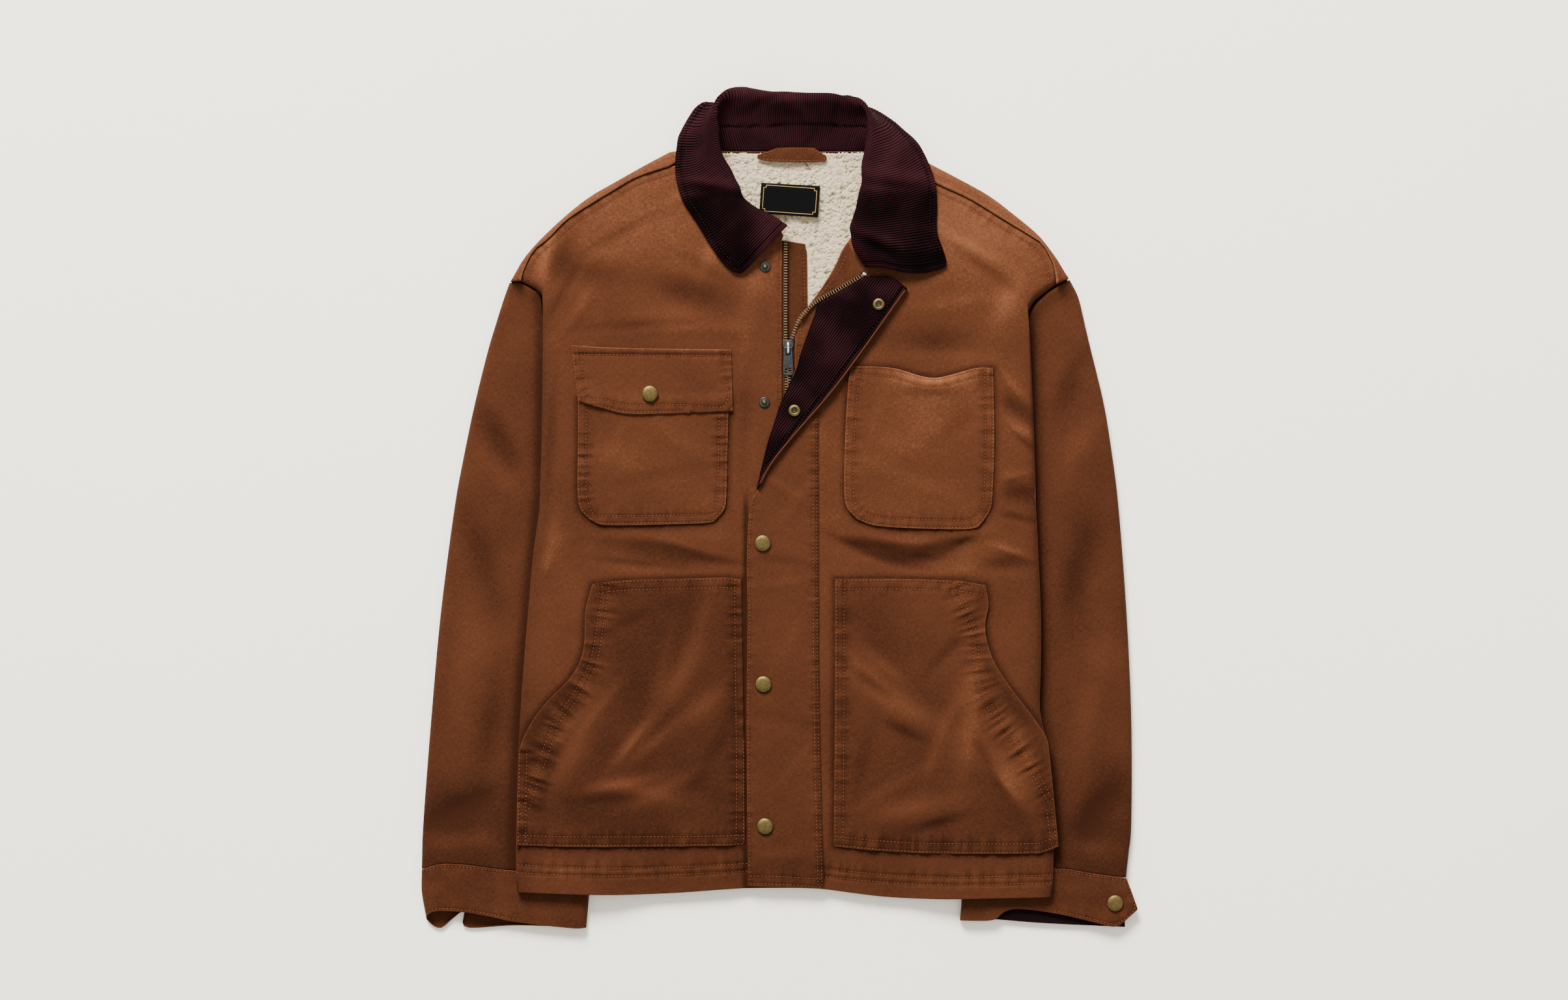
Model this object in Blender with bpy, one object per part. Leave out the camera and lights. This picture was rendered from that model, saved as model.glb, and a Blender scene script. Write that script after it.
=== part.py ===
"""Barn jacket laid flat, front up. Blender 4.5, lengths in the tables are millimetres.

X runs across the jacket (the wearer's right side is at -X), Y towards the collar, Z up.
"""
import bmesh
import bpy
import math
import numpy as np
from mathutils import Vector
from mathutils.bvhtree import BVHTree

MM = 0.001
CENTRE = (-0.555, -0.265)         # middle of the jacket in the photo frame

# Cloth walls and the heights at which the layers lie
SLEEVE_WALL = 3.2            # canvas and quilted lining
BODY_WALL = 2.0
POCKET_WALL = 1.8
FLAP_WALL = 1.8
FACING_WALL = 1.4
COLLAR_WALL = 3.0            # two layers of corduroy
SEAM = 0.35                  # gap at a seam
SLEEVE_TOP = 9.6             # top of a sleeve under the body
SLEEVE_RISE = 0.8            # how much fuller it is where it shows
SLEEVE_SIDE = 4.7            # height of the fold line along a sleeve
SIDE_HEIGHT = 14.4           # height of the body's side seam over the sleeve
FRONT_TOP = 17.2
SIDE_RISE = 2.4              # fronts rise where the sleeves lie under them
HEM_DROP = 7.0
NECK_HEIGHT = 6.0            # outer face of the back at the neck
FLAP_LEVEL = 18.3            # top of the storm flap's closed part
TURNED_LEVEL = 22.8          # top of its turned part
LINING_TOP = 11.6

# Zip
ZIP_X = 8.6
HINGE_Y = 153.8
HINGE_Z = 16.7
TAB_LENGTH = 27.0
TAB_WIDTH = 10.0
TAB_THICKNESS = 1.5
EYE_LENGTH = 7.4

# Fabric colours: name, red, green, blue, roughness, metallic
FINISHES = {
    "canvas": (0.20, 0.065, 0.024, 0.9, 0.0),
    "corduroy": (0.030, 0.009, 0.012, 0.85, 0.0),
    "pile": (0.80, 0.76, 0.68, 1.0, 0.0),
    "knit": (0.014, 0.007, 0.010, 0.95, 0.0),
    "tape": (0.10, 0.040, 0.018, 0.9, 0.0),
    "weave": (0.010, 0.010, 0.011, 0.8, 0.0),
    "brass": (0.36, 0.28, 0.13, 0.45, 1.0),
    "gunmetal": (0.06, 0.06, 0.06, 0.4, 1.0),
}

# Outlines, x and y along the edge -------------------------------------------------------------
RIGHT_SIDE = [(-249, -364), (-250, -350), (-249.7, -300), (-247.6, -223), (-243, -150), (-234.6, -50),
              (-228, 0), (-225.5, 100), (-225, 177), (-225.5, 204)]
RIGHT_TIP = [(-225.5, 204), (-232, 210), (-245, 217)]
RIGHT_SEAM = [(-245, 217), (-242, 228), (-233, 246), (-220, 256), (-211, 265.5), (-200, 276), (-179, 289.5),
              (-160, 301), (-135, 315.5), (-100, 327), (-62, 342)]
RIGHT_NECK = [(2.5, 256.5), (3, 263), (-14, 276), (-30, 286), (-42, 300), (-50, 318), (-58, 333), (-62, 342)]
RIGHT_HEM = [(-249, -364), (-200, -366), (-150, -367), (-100, -365.5), (-50, -362), (2.5, -359.5)]
LEFT_SIDE = [(259, -368), (260.5, -350), (261, -300), (258, -250), (253, -215), (248, -190), (249, -150),
             (249, -100), (247, -50), (244.5, 0), (243.5, 50), (242, 100), (239, 160), (236.5, 188)]
LEFT_TIP = [(236.5, 188), (243, 198.5), (252, 206), (263, 214)]
LEFT_SEAM = [(263, 214), (261, 230), (257.7, 238.5), (250, 252), (240, 259), (220, 271), (200, 283), (180, 295),
             (150, 309), (118, 325), (90, 338)]
LEFT_NECK = [(66, 256), (76, 270), (82, 290), (87, 310), (89.5, 325), (90, 338)]
LEFT_EDGE = [(15, 160), (17, 178), (27.5, 193), (37, 206), (45, 218), (52.6, 231), (60, 247), (66, 256)]
LEFT_HEM = [(15, -360), (42.5, -362), (100, -369), (150, -371), (200, -370), (250, -369), (259, -368)]
SHOULDER_RIGHT = [(-256, 217), (-250, 228), (-242, 241), (-225, 260), (-200, 283), (-179, 299), (-160, 310),
                  (-130, 327), (-100, 343)]
SHOULDER_LEFT = [(120, 343), (141, 331), (169.5, 316), (200, 299), (222, 282.5), (240, 268), (250, 258.5),
                 (264, 240), (270, 230), (276, 220)]
ARMHOLE_RIGHT = [(-256, 217), (-243, 190), (-222, 130), (-196, 80), (-168, 52)]
ARMHOLE_LEFT = [(276, 220), (262, 190), (238, 130), (208, 80), (178, 52)]

# Sleeve: top half's upper edge, outer edge, hidden inner edge and cuff seam, and the body's side over it
SLEEVES = {
    "right": dict(
        head=[(-257, 216), (-246, 215.3), (-233, 208.4), (-226.8, 200), (-221, 130), (-210, 88), (-186, 36)],
        outer=[(-257, 216), (-263, 200), (-270.5, 176), (-278, 151), (-290.6, 100), (-301, 50), (-310, 0),
               (-323, -100), (-332, -200), (-339.6, -300), (-341, -343)],
        inner=[(-186, 36), (-175, -10), (-167, -100), (-170, -200), (-176, -300), (-179, -348)],
        seam=[(-341, -343), (-324, -337.5), (-300, -338), (-250, -344), (-179, -348)]),
    "left": dict(
        head=[(277, 219), (264.5, 211.8), (253, 203.8), (238.5, 184), (233, 130), (223, 88), (196, 36)],
        outer=[(277, 219), (285.6, 202), (292, 175), (298, 150), (310, 100), (318, 50), (324, 0),
               (331.5, -100), (336, -200), (336, -300), (333, -330), (331, -351)],
        inner=[(196, 36), (183, -10), (174, -100), (172, -200), (170, -300), (170, -341)],
        seam=[(331, -351), (300, -346.5), (273, -342), (262, -342), (170, -341)]),
}

# Cuffs: outer end, lower edge of the upper layer, lower edge of the under layer, inner end
CUFFS = {
    "right": dict(
        end=[(-341, -343), (-341, -365), (-336.5, -388)],
        edge=[(-336.5, -388), (-330, -383.5), (-318.6, -382.7), (-298.7, -384), (-275.6, -388), (-250, -393.4),
              (-200, -399), (-184, -399)],
        under=[(-336.5, -391), (-330, -397.5), (-322, -399.3), (-312, -391), (-303, -384), (-299.4, -385),
               (-298.6, -398.8), (-250, -397), (-184, -399)],
        inner=[(-179, -348), (-181, -365), (-184, -399)]),
    "left": dict(
        end=[(331, -351), (334, -359), (342, -381)],
        edge=[(324.5, -396.7), (316.5, -397.5), (300, -393.4), (273, -387), (250, -383), (226, -380.7),
              (214, -384), (203, -391.5), (172.5, -392)],
        under=[(329, -388), (300, -389), (250, -390), (172.5, -391)],
        inner=[(170, -341), (174, -371), (172.5, -392)]),
}
TAB_CORNER = [(342, -381), (324.5, -396.7)]
KNIT_EDGE = [(206, -391), (250, -394.5), (300, -397), (330, -398.3)]

# Collar from its right end round the neck to its left end: neck seam, roll line, outer edge
# (x, y, z each), outward direction in degrees, lean (0 folded over the front, 1 laid back behind the neck)
COLLAR = [
    (-2, 264.5, 18, 8, 270, 24, -37, 222, 21, 230, 0.0),
    (-15, 275, 18, -10, 281, 25, -50, 231, 21, 228, 0.0),
    (-24, 284, 18, -29, 292, 26, -64, 249, 21, 220, 0.0),
    (-37, 300, 18, -38, 308, 27, -78, 272, 21, 212, 0.0),
    (-48, 318, 18, -46, 325, 28, -92, 294, 21, 200, 0.0),
    (-57, 336, 17, -54, 341, 29, -98.6, 318, 21, 188, 0.0),
    (-60, 342, 14, -56, 357, 29, -98, 341, 19, 178, 0.1),
    (-58, 342, 11, -59, 376, 28, -94, 359, 12, 150, 0.4),
    (-52, 341.8, 9.5, -56, 392, 26, -82, 376, 6, 128, 0.8),
    (-38, 341.6, 9, -41, 401, 24, -52, 372, 2.5, 100, 1.0),
    (-12, 341.6, 9, -12, 397.5, 24, -14, 356, 1.6, 91, 1.0),
    (16, 341.6, 9, 18, 396.6, 24, 18, 354, 1.6, 90, 1.0),
    (46, 341.6, 9, 50, 396.3, 24, 50, 356, 1.6, 88, 1.0),
    (68, 341.8, 9, 73, 392, 24, 74, 366, 2.5, 80, 1.0),
    (82, 342, 10, 84, 383, 26, 101, 374, 6, 60, 0.85),
    (90, 342, 13, 86.5, 366, 28, 121, 359, 12, 30, 0.35),
    (93, 338, 17, 82.5, 347, 29, 132, 349, 19, 12, 0.05),
    (91, 322, 19, 79, 328, 29, 142, 330, 21, 2, 0.0),
    (88, 306, 19, 76.5, 306, 28, 149, 308, 21, 0, 0.0),
    (84, 290, 19, 72, 287, 27, 150, 284, 21, -4, 0.0),
    (79, 274, 19, 67, 268, 26, 150, 264, 21, -6, 0.0),
    (81, 258, 19, 70, 249, 25, 156, 247, 21, -6, 0.0),
    (90, 245, 20, 82, 230, 24, 161, 231, 21, -4, 0.0),
]

# Storm flap: free edge, fold line of the turned part, and its free edge
FLAP_EDGE = [(-29.6, -358.5), (-31, -200), (-30, -100), (-30.7, -50), (-29, -10), (-26, 8), (-18.5, 24), (-9, 60),
             (4.5, 101), (14, 130), (23, 151), (31, 169)]
FLAP_SEAM = [(42.5, -361.5), (38.5, -172), (37.7, 87), (38, 169)]
TURN_LINE = [(-21.5, 20), (-12, 60), (-5.5, 80), (1, 100), (9, 118), (15.8, 133), (21, 150), (28, 170), (33, 183),
             (38.5, 197.5), (54, 205), (69, 214), (81, 222)]
TURNED_EDGE = [(-18.8, 21), (-6.5, 43.6), (15, 70.5), (50, 111), (80, 151), (107, 189), (122, 210)]
TURNED_TOP = [(81, 222), (92, 221.5), (101, 222), (110, 219), (122, 210)]

# Folds: middle x, y, direction in degrees, half length, half width, rise
RIGHT_FRONT_FOLDS = [
    (-222, 232, 82, 30, 9, 2.2), (-205, 238, 70, 26, 12, -2.4), (-175, 222, -8, 32, 13, -1.8),
    (-85, 205, -16, 38, 14, -2.4), (-95, 178, -6, 50, 14, 1.4), (-30, 190, 78, 40, 14, 1.2),
    (-110, -43, -9, 55, 12, -2.4), (-120, -24, -4, 60, 10, 1.0), (-210, -30, 70, 30, 10, 1.2),
    (-212, -118, 4, 22, 10, -2.4), (-215, -92, 8, 24, 12, 1.4), (-38, 60, 84, 60, 9, -1.2)]
LEFT_FRONT_FOLDS = [
    (95, -38, -16, 42, 9, -2.8), (160, -36, 17, 42, 9, -2.8), (120, -20, 0, 55, 10, 1.6),
    (180, -58, 12, 45, 9, 1.2), (212, -53, 4, 26, 8, -2.4), (226, 94, -38, 24, 8, -2.2),
    (232, 74, -30, 20, 8, 1.6), (228, 14, -6, 20, 9, -2.2), (150, 158, -4, 46, 14, -1.8),
    (215, 190, 60, 34, 12, 1.4), (228, -112, 10, 20, 10, -2.2), (60, 60, 86, 60, 9, -1.0)]
RIGHT_POCKET_FOLDS = [
    (-128, -225, 42, 30, 10, 3.0), (-196, -235, 62, 40, 14, 2.6), (-130, -272, -8, 42, 11, 2.4),
    (-92, -160, 60, 40, 13, 2.4), (-72, -190, 40, 34, 12, 2.0)]
LEFT_POCKET_FOLDS = [
    (72, -150, -30, 32, 12, 2.4), (122, -192, -30, 42, 12, 2.6), (182, -210, 82, 46, 11, 2.2),
    (222, -258, -52, 34, 12, 3.0), (130, -286, 10, 40, 12, 2.2)]
SLEEVE_FOLDS = [
    (-262, 60, -55, 34, 11, -2.6), (-255, 20, -48, 30, 11, 1.4), (-285, -40, -70, 46, 14, -2.0),
    (-300, -150, 82, 60, 16, 1.6), (-272, -210, 76, 50, 14, -2.2), (-300, -282, 22, 42, 12, -2.4),
    (-296, -318, 4, 44, 10, 1.8), (272, 110, 62, 34, 12, -2.4), (286, 60, 55, 36, 12, 1.4),
    (284, -60, 74, 50, 14, -2.2), (296, -190, 82, 60, 15, 1.8), (300, -290, 56, 44, 13, -2.6),
    (284, -322, -10, 34, 10, 1.6)]

# Pockets: lower edge, upper edge (left to right), left and right edges (upwards)
POCKETS = {
    "chest_pocket_right": dict(
        lower=[(-181, -9), (-170, -14), (-150, -15), (-100, -14), (-66, -12.4), (-58, -8)],
        upper=[(-191, 104), (-150, 103), (-100, 103), (-48, 104)],
        left=[(-181, -9), (-189, 1), (-191.5, 20), (-191, 60), (-191, 104)],
        right=[(-58, -8), (-51.5, 2), (-50, 20), (-49, 60), (-48, 104)],
        folds=[(-150, 50, -20, 40, 20, 1.0)], front="front_right"),
    "chest_pocket_left": dict(
        lower=[(74, -9), (88, -14.5), (110, -17), (150, -18.5), (184, -18), (194, -11)],
        upper=[(68.5, 136.5), (106.6, 134.6), (133.5, 127), (147, 125), (160, 127), (187, 134.2), (203.2, 134.4)],
        left=[(74, -9), (64.5, 2), (62, 20), (63, 70), (66, 122), (68.5, 136.5)],
        right=[(194, -11), (201, 1), (203, 20), (204.4, 70), (203.2, 134.4)],
        folds=[(147, 118, 0, 34, 16, 3.2), (120, 60, 20, 40, 20, 1.0)], front="front_left"),
    "lower_pocket_right": dict(
        lower=[(-249.4, -319), (-200, -320.6), (-150, -320.8), (-50, -319.7), (-32.6, -317.6)],
        upper=[(-177.6, -71), (-150, -67.6), (-100, -66), (-50, -64.9), (-36, -66.7)],
        left=[(-249.4, -319), (-248, -250), (-246, -226), (-235, -202), (-219, -181), (-200, -162), (-189.5, -145),
              (-185, -126), (-184, -97), (-177.6, -71)],
        right=[(-32.6, -317.6), (-34, -200), (-36, -66.7)],
        folds=RIGHT_POCKET_FOLDS, front="front_right"),
    "lower_pocket_left": dict(
        lower=[(52, -320.5), (101, -325), (150, -327), (235, -327), (252, -325.5), (265.5, -320)],
        upper=[(53.3, -66.4), (100, -66), (150, -67), (175, -68.5), (196, -72)],
        left=[(52, -320.5), (53, -200), (53.3, -66.4)],
        right=[(265.5, -320), (261.6, -279), (257, -234), (254, -217), (244, -201), (230, -182.5), (214, -161),
               (203, -142), (197, -123), (196, -107), (199, -91), (196, -72)],
        folds=LEFT_POCKET_FOLDS, front="front_left"),
}

# Places on the fronts that pockets lie on: x from, x to, y from, y to
POCKET_PLACES = [(-200, -42, -18, 158), (60, 206, -20, 140), (-252, -32, -322, -68), (50, 262, -328, -70)]


# Curves and patches -----------------------------------------------------------------------------
def smooth_step(value, start, end):
    """0 at start, 1 at end, with a soft change between them."""
    t = np.clip((value - start) / (end - start), 0.0, 1.0)
    return t * t * (3.0 - 2.0 * t)


def along(points, fractions):
    """Places at fractions of the length of a smooth line through the points."""
    knots = np.array(points, float)
    ends = np.vstack([2 * knots[0] - knots[1], knots, 2 * knots[-1] - knots[-2]])
    dense = []
    for before, start, end, after in zip(ends, ends[1:], ends[2:], ends[3:]):
        for t in np.linspace(0, 1, 12, endpoint=False):
            dense.append(0.5 * (2 * start + (end - before) * t + (2 * before - 5 * start + 4 * end - after) * t**2
                                + (3 * start - before - 3 * end + after) * t**3))
    dense.append(knots[-1])
    dense = np.array(dense)
    steps = np.concatenate([[0], np.cumsum(np.linalg.norm(np.diff(dense, axis=0), axis=1))])
    places = steps[-1] * np.asarray(fractions, float)
    return np.column_stack([np.interp(places, steps, dense[:, k]) for k in range(dense.shape[1])])


def joined(pieces, fractions):
    """A line made of several curves; each piece is (fraction at which it ends, points)."""
    places = []
    for fraction in fractions:
        start = 0.0
        for end, points in pieces:
            if fraction <= end + 1e-9:
                break
            start = end
        places.append(along(points, [(fraction - start) / (end - start)])[0])
    return np.array(places)


def patch(bottom, top, left, right, across, up):
    """Plan points of a panel between its four edges (Coons patch), rows from bottom to top."""
    u = np.asarray(across)[None, :, None]
    v = np.asarray(up)[:, None, None]
    corners = ((1 - u) * (1 - v) * bottom[0] + u * (1 - v) * bottom[-1]
               + (1 - u) * v * top[0] + u * v * top[-1])
    return ((1 - v) * bottom[None] + v * top[None] + (1 - u) * left[:, None] + u * right[:, None]) - corners


def fractions(count, start=(), end=()):
    """Even fractions with closer ones at the start and the end, where an edge turns over."""
    first = start[-1] if len(start) else 0.0
    last = 1.0 - end[-1] if len(end) else 1.0
    middle = list(np.linspace(first, last, count))
    head = [0.0] + list(start[:-1]) if len(start) else []
    tail = [1.0 - value for value in reversed(end[:-1])] + [1.0] if len(end) else []
    return np.array(head + middle + tail)


def folds(x, y, table):
    """Height that a table of folds adds at the places."""
    total = np.zeros_like(x)
    for middle_x, middle_y, direction, reach, spread, rise in table:
        angle = math.radians(direction)
        lengthwise = (x - middle_x) * math.cos(angle) + (y - middle_y) * math.sin(angle)
        crosswise = (y - middle_y) * math.cos(angle) - (x - middle_x) * math.sin(angle)
        total += rise * np.exp(-(crosswise / spread)**2 - (lengthwise / reach)**2)
    return total


def under_pockets(x, y):
    """1 where a pocket lies on the front, 0 away from it."""
    covered = np.zeros_like(x)
    for x_from, x_to, y_from, y_to in POCKET_PLACES:
        inside = (smooth_step(x, x_from - 14, x_from) * smooth_step(-x, -x_to - 14, -x_to)
                  * smooth_step(y, y_from - 14, y_from) * smooth_step(-y, -y_to - 14, -y_to))
        covered = np.maximum(covered, inside)
    return covered


def turned_edge(plan, column, width):
    """How far each point of a panel has turned over its edge: 1 on the edge, 0 at the width."""
    edge = plan[:, column:column + 1] if column >= 0 else plan[:, -1:]
    distance = np.linalg.norm(plan - edge, axis=2)
    t = 1 - np.clip(distance / width, 0, 1)
    return 1 - np.sqrt(1 - t * t)


def with_height(plan, height):
    return np.concatenate([plan, np.asarray(height)[:, :, None]], axis=2)


# Solids ---------------------------------------------------------------------------------------
def finish(name):
    """Material of one piece."""
    material = bpy.data.materials.get(name)
    if material is None:
        red, green, blue, roughness, metallic = FINISHES[name]
        material = bpy.data.materials.new(name)
        material.use_nodes = True
        shader = material.node_tree.nodes["Principled BSDF"]
        shader.inputs["Base Color"].default_value = (red, green, blue, 1)
        shader.inputs["Roughness"].default_value = roughness
        shader.inputs["Metallic"].default_value = metallic
    return material


def place(name, bm, material, origin=(0, 0, 0)):
    """Turn a bmesh in millimetres into a named object under the jacket's empty."""
    bmesh.ops.translate(bm, verts=bm.verts, vec=-Vector(origin))
    bmesh.ops.scale(bm, verts=bm.verts, vec=(MM, MM, MM))
    mesh = bpy.data.meshes.new(name)
    bm.to_mesh(mesh)
    bm.free()
    mesh.shade_smooth()
    mesh.materials.append(finish(material))
    piece = bpy.data.objects.new(name, mesh)
    piece.location = Vector(origin) * MM
    piece.parent = bpy.data.objects["jacket"]
    bpy.context.scene.collection.objects.link(piece)
    return piece


def facing_out(points, face_down=False, upright_columns=(), level_rows=()):
    """Outward directions at the points; upright columns keep a level wall, level rows a vertical one."""
    across = np.gradient(points, axis=1)
    upwards = np.gradient(points, axis=0)
    normals = np.cross(across, upwards)
    sideways = normals * [1, 1, 0]
    for row in level_rows:
        normals[row, :, :2] = 0
    for column in upright_columns:
        normals[:, column] = sideways[:, column]
    normals /= np.maximum(np.linalg.norm(normals, axis=2), 1e-9)[..., None]
    return -normals if face_down else normals


def thick(name, outer, inner, material, face_down=False):
    """A closed wall: a grid moved onto the outer points and extruded to the inner ones."""
    rows, columns = outer.shape[:2]
    bm = bmesh.new()
    bmesh.ops.create_grid(bm, x_segments=columns - 1, y_segments=rows - 1, size=1)
    number = bm.verts.layers.int.new("number")
    for index, (vert, point) in enumerate(zip(bm.verts, outer.reshape(-1, 3))):
        vert.co = point
        vert[number] = index
    far_side = bmesh.ops.extrude_face_region(bm, geom=list(bm.faces))["geom"]
    inner_points = inner.reshape(-1, 3)
    for vert in [item for item in far_side if isinstance(item, bmesh.types.BMVert)]:
        vert.co = inner_points[vert[number]]
    if not face_down:
        bmesh.ops.reverse_faces(bm, faces=bm.faces)
    return place(name, bm, material)


def cloth(name, points, wall, material, face_down=False, upright_columns=(), level_rows=()):
    """A cloth wall: its outer face is the grid of points, its thickness goes inwards."""
    normals = facing_out(points, face_down, upright_columns, level_rows)
    return thick(name, points, points - wall * normals, material, face_down)


def turned(name, profile, centre, material, steps=12, hollow=False):
    """A round piece: the profile (radius, height) spun about Z."""
    bm = bmesh.new()
    verts = [bm.verts.new((radius, 0, height)) for radius, height in profile]
    pairs = list(zip(verts, verts[1:])) + ([(verts[-1], verts[0])] if hollow else [])
    edges = [bm.edges.new(pair) for pair in pairs]
    bmesh.ops.spin(bm, geom=verts + edges, cent=(0, 0, 0), axis=(0, 0, 1), angle=math.tau, steps=steps,
                   use_merge=True)
    bmesh.ops.remove_doubles(bm, verts=bm.verts, dist=0.001)
    bmesh.ops.recalc_face_normals(bm, faces=bm.faces)
    bmesh.ops.translate(bm, verts=bm.verts, vec=centre)
    return place(name, bm, material)


def surface(*names):
    """Ray-casting trees of finished pieces, in millimetres before centring."""
    graph = bpy.context.evaluated_depsgraph_get()
    return [BVHTree.FromObject(bpy.data.objects[name], graph) for name in names]


def height_under(trees, x, y, reach):
    """Highest point of the pieces within reach of a place, or None beside them."""
    highest = None
    ring = [(0, 0)] + [(reach * math.cos(k * math.tau / 8), reach * math.sin(k * math.tau / 8)) for k in range(8)]
    for tree in trees:
        for step_x, step_y in ring:
            start = Vector(((x + step_x) * MM, (y + step_y) * MM, 0.2))
            hit = tree.ray_cast(start, Vector((0, 0, -1)))[0]
            if hit is not None and (highest is None or hit.z / MM > highest):
                highest = hit.z / MM
    return highest


def laid_on(points, trees, clearance, reach=6.0, lift_only=False):
    """Move points up so that they lie on the pieces below, a clearance above them."""
    rested = points.copy()
    for index in np.ndindex(points.shape[:2]):
        x, y, z = points[index]
        below = height_under(trees, x, y, reach)
        if below is None:
            continue
        rested[index][2] = max(z, below + clearance) if lift_only else z + below + clearance
    return rested


# Body -----------------------------------------------------------------------------------------
def front_form(plan, side_sign, table, edge_x):
    """Heights of a front: higher over the sleeve, lower at the hem, the shoulder and the zip."""
    x, y = plan[..., 0], plan[..., 1]
    outward = x * side_sign
    over_sleeve = smooth_step(outward, 110, 185)
    height = FRONT_TOP + SIDE_RISE * over_sleeve
    height -= HEM_DROP * (1 - 0.85 * over_sleeve) * smooth_step(-y, 315, 368)
    height -= 3.2 * smooth_step(outward, 190, 235) * smooth_step(y, 190, 250)
    height -= 1.4 * smooth_step(y - 0.55 * (245 - outward), 230, 255)
    height -= 1.6 * smooth_step(-np.abs(x - edge_x), -60, -34)
    return height + folds(x, y, table) * (1 - under_pockets(x, y))


def build_fronts():
    up = fractions(22, start=(0.012, 0.04), end=(0.02, 0.06))
    across = fractions(10, start=(0.007, 0.018, 0.034, 0.07))
    right = patch(along(RIGHT_HEM, across), along(RIGHT_SEAM, across),
                  joined([(0.95, RIGHT_SIDE), (1.0, RIGHT_TIP)], up),
                  joined([(0.86, [(2.5, -359.5), (2.5, -100), (2.5, 100), (2.5, 256.5)]), (1.0, RIGHT_NECK)], up),
                  across, up)
    left = patch(along(LEFT_HEM[::-1], across), along(LEFT_SEAM, across),
                 joined([(0.94, LEFT_SIDE), (1.0, LEFT_TIP)], up),
                 joined([(0.74, [(15, -360), (15, -100), (15, 160)]), (0.88, LEFT_EDGE), (1.0, LEFT_NECK)], up),
                 across, up)[:, ::-1]
    for name, plan, sign, table, column, edge_x in (("front_right", right, -1, RIGHT_FRONT_FOLDS, 0, 2.5),
                                                    ("front_left", left, 1, LEFT_FRONT_FOLDS, -1, 15)):
        height = front_form(plan, sign, table, edge_x)
        side_y = plan[:, column, 1][:, None]
        seam_height = SIDE_HEIGHT + SEAM - 3.4 * smooth_step(side_y, 40, 75)
        seam_height = seam_height + 1.4 * smooth_step(side_y, 190, 215)
        edge_height = height[:, column][:, None]
        height = height - turned_edge(plan, column, 9.0) * (edge_height - seam_height)
        cloth(name, with_height(plan, height), BODY_WALL, "canvas", upright_columns=(column,), level_rows=(-1,))


def offset_line(points, distance):
    """A line moved sideways, to its left where the distance is positive."""
    line = np.array(points, float)
    direction = np.gradient(line, axis=0)
    direction /= np.linalg.norm(direction, axis=1)[:, None]
    return line + distance * np.column_stack([-direction[:, 1], direction[:, 0]])


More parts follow.
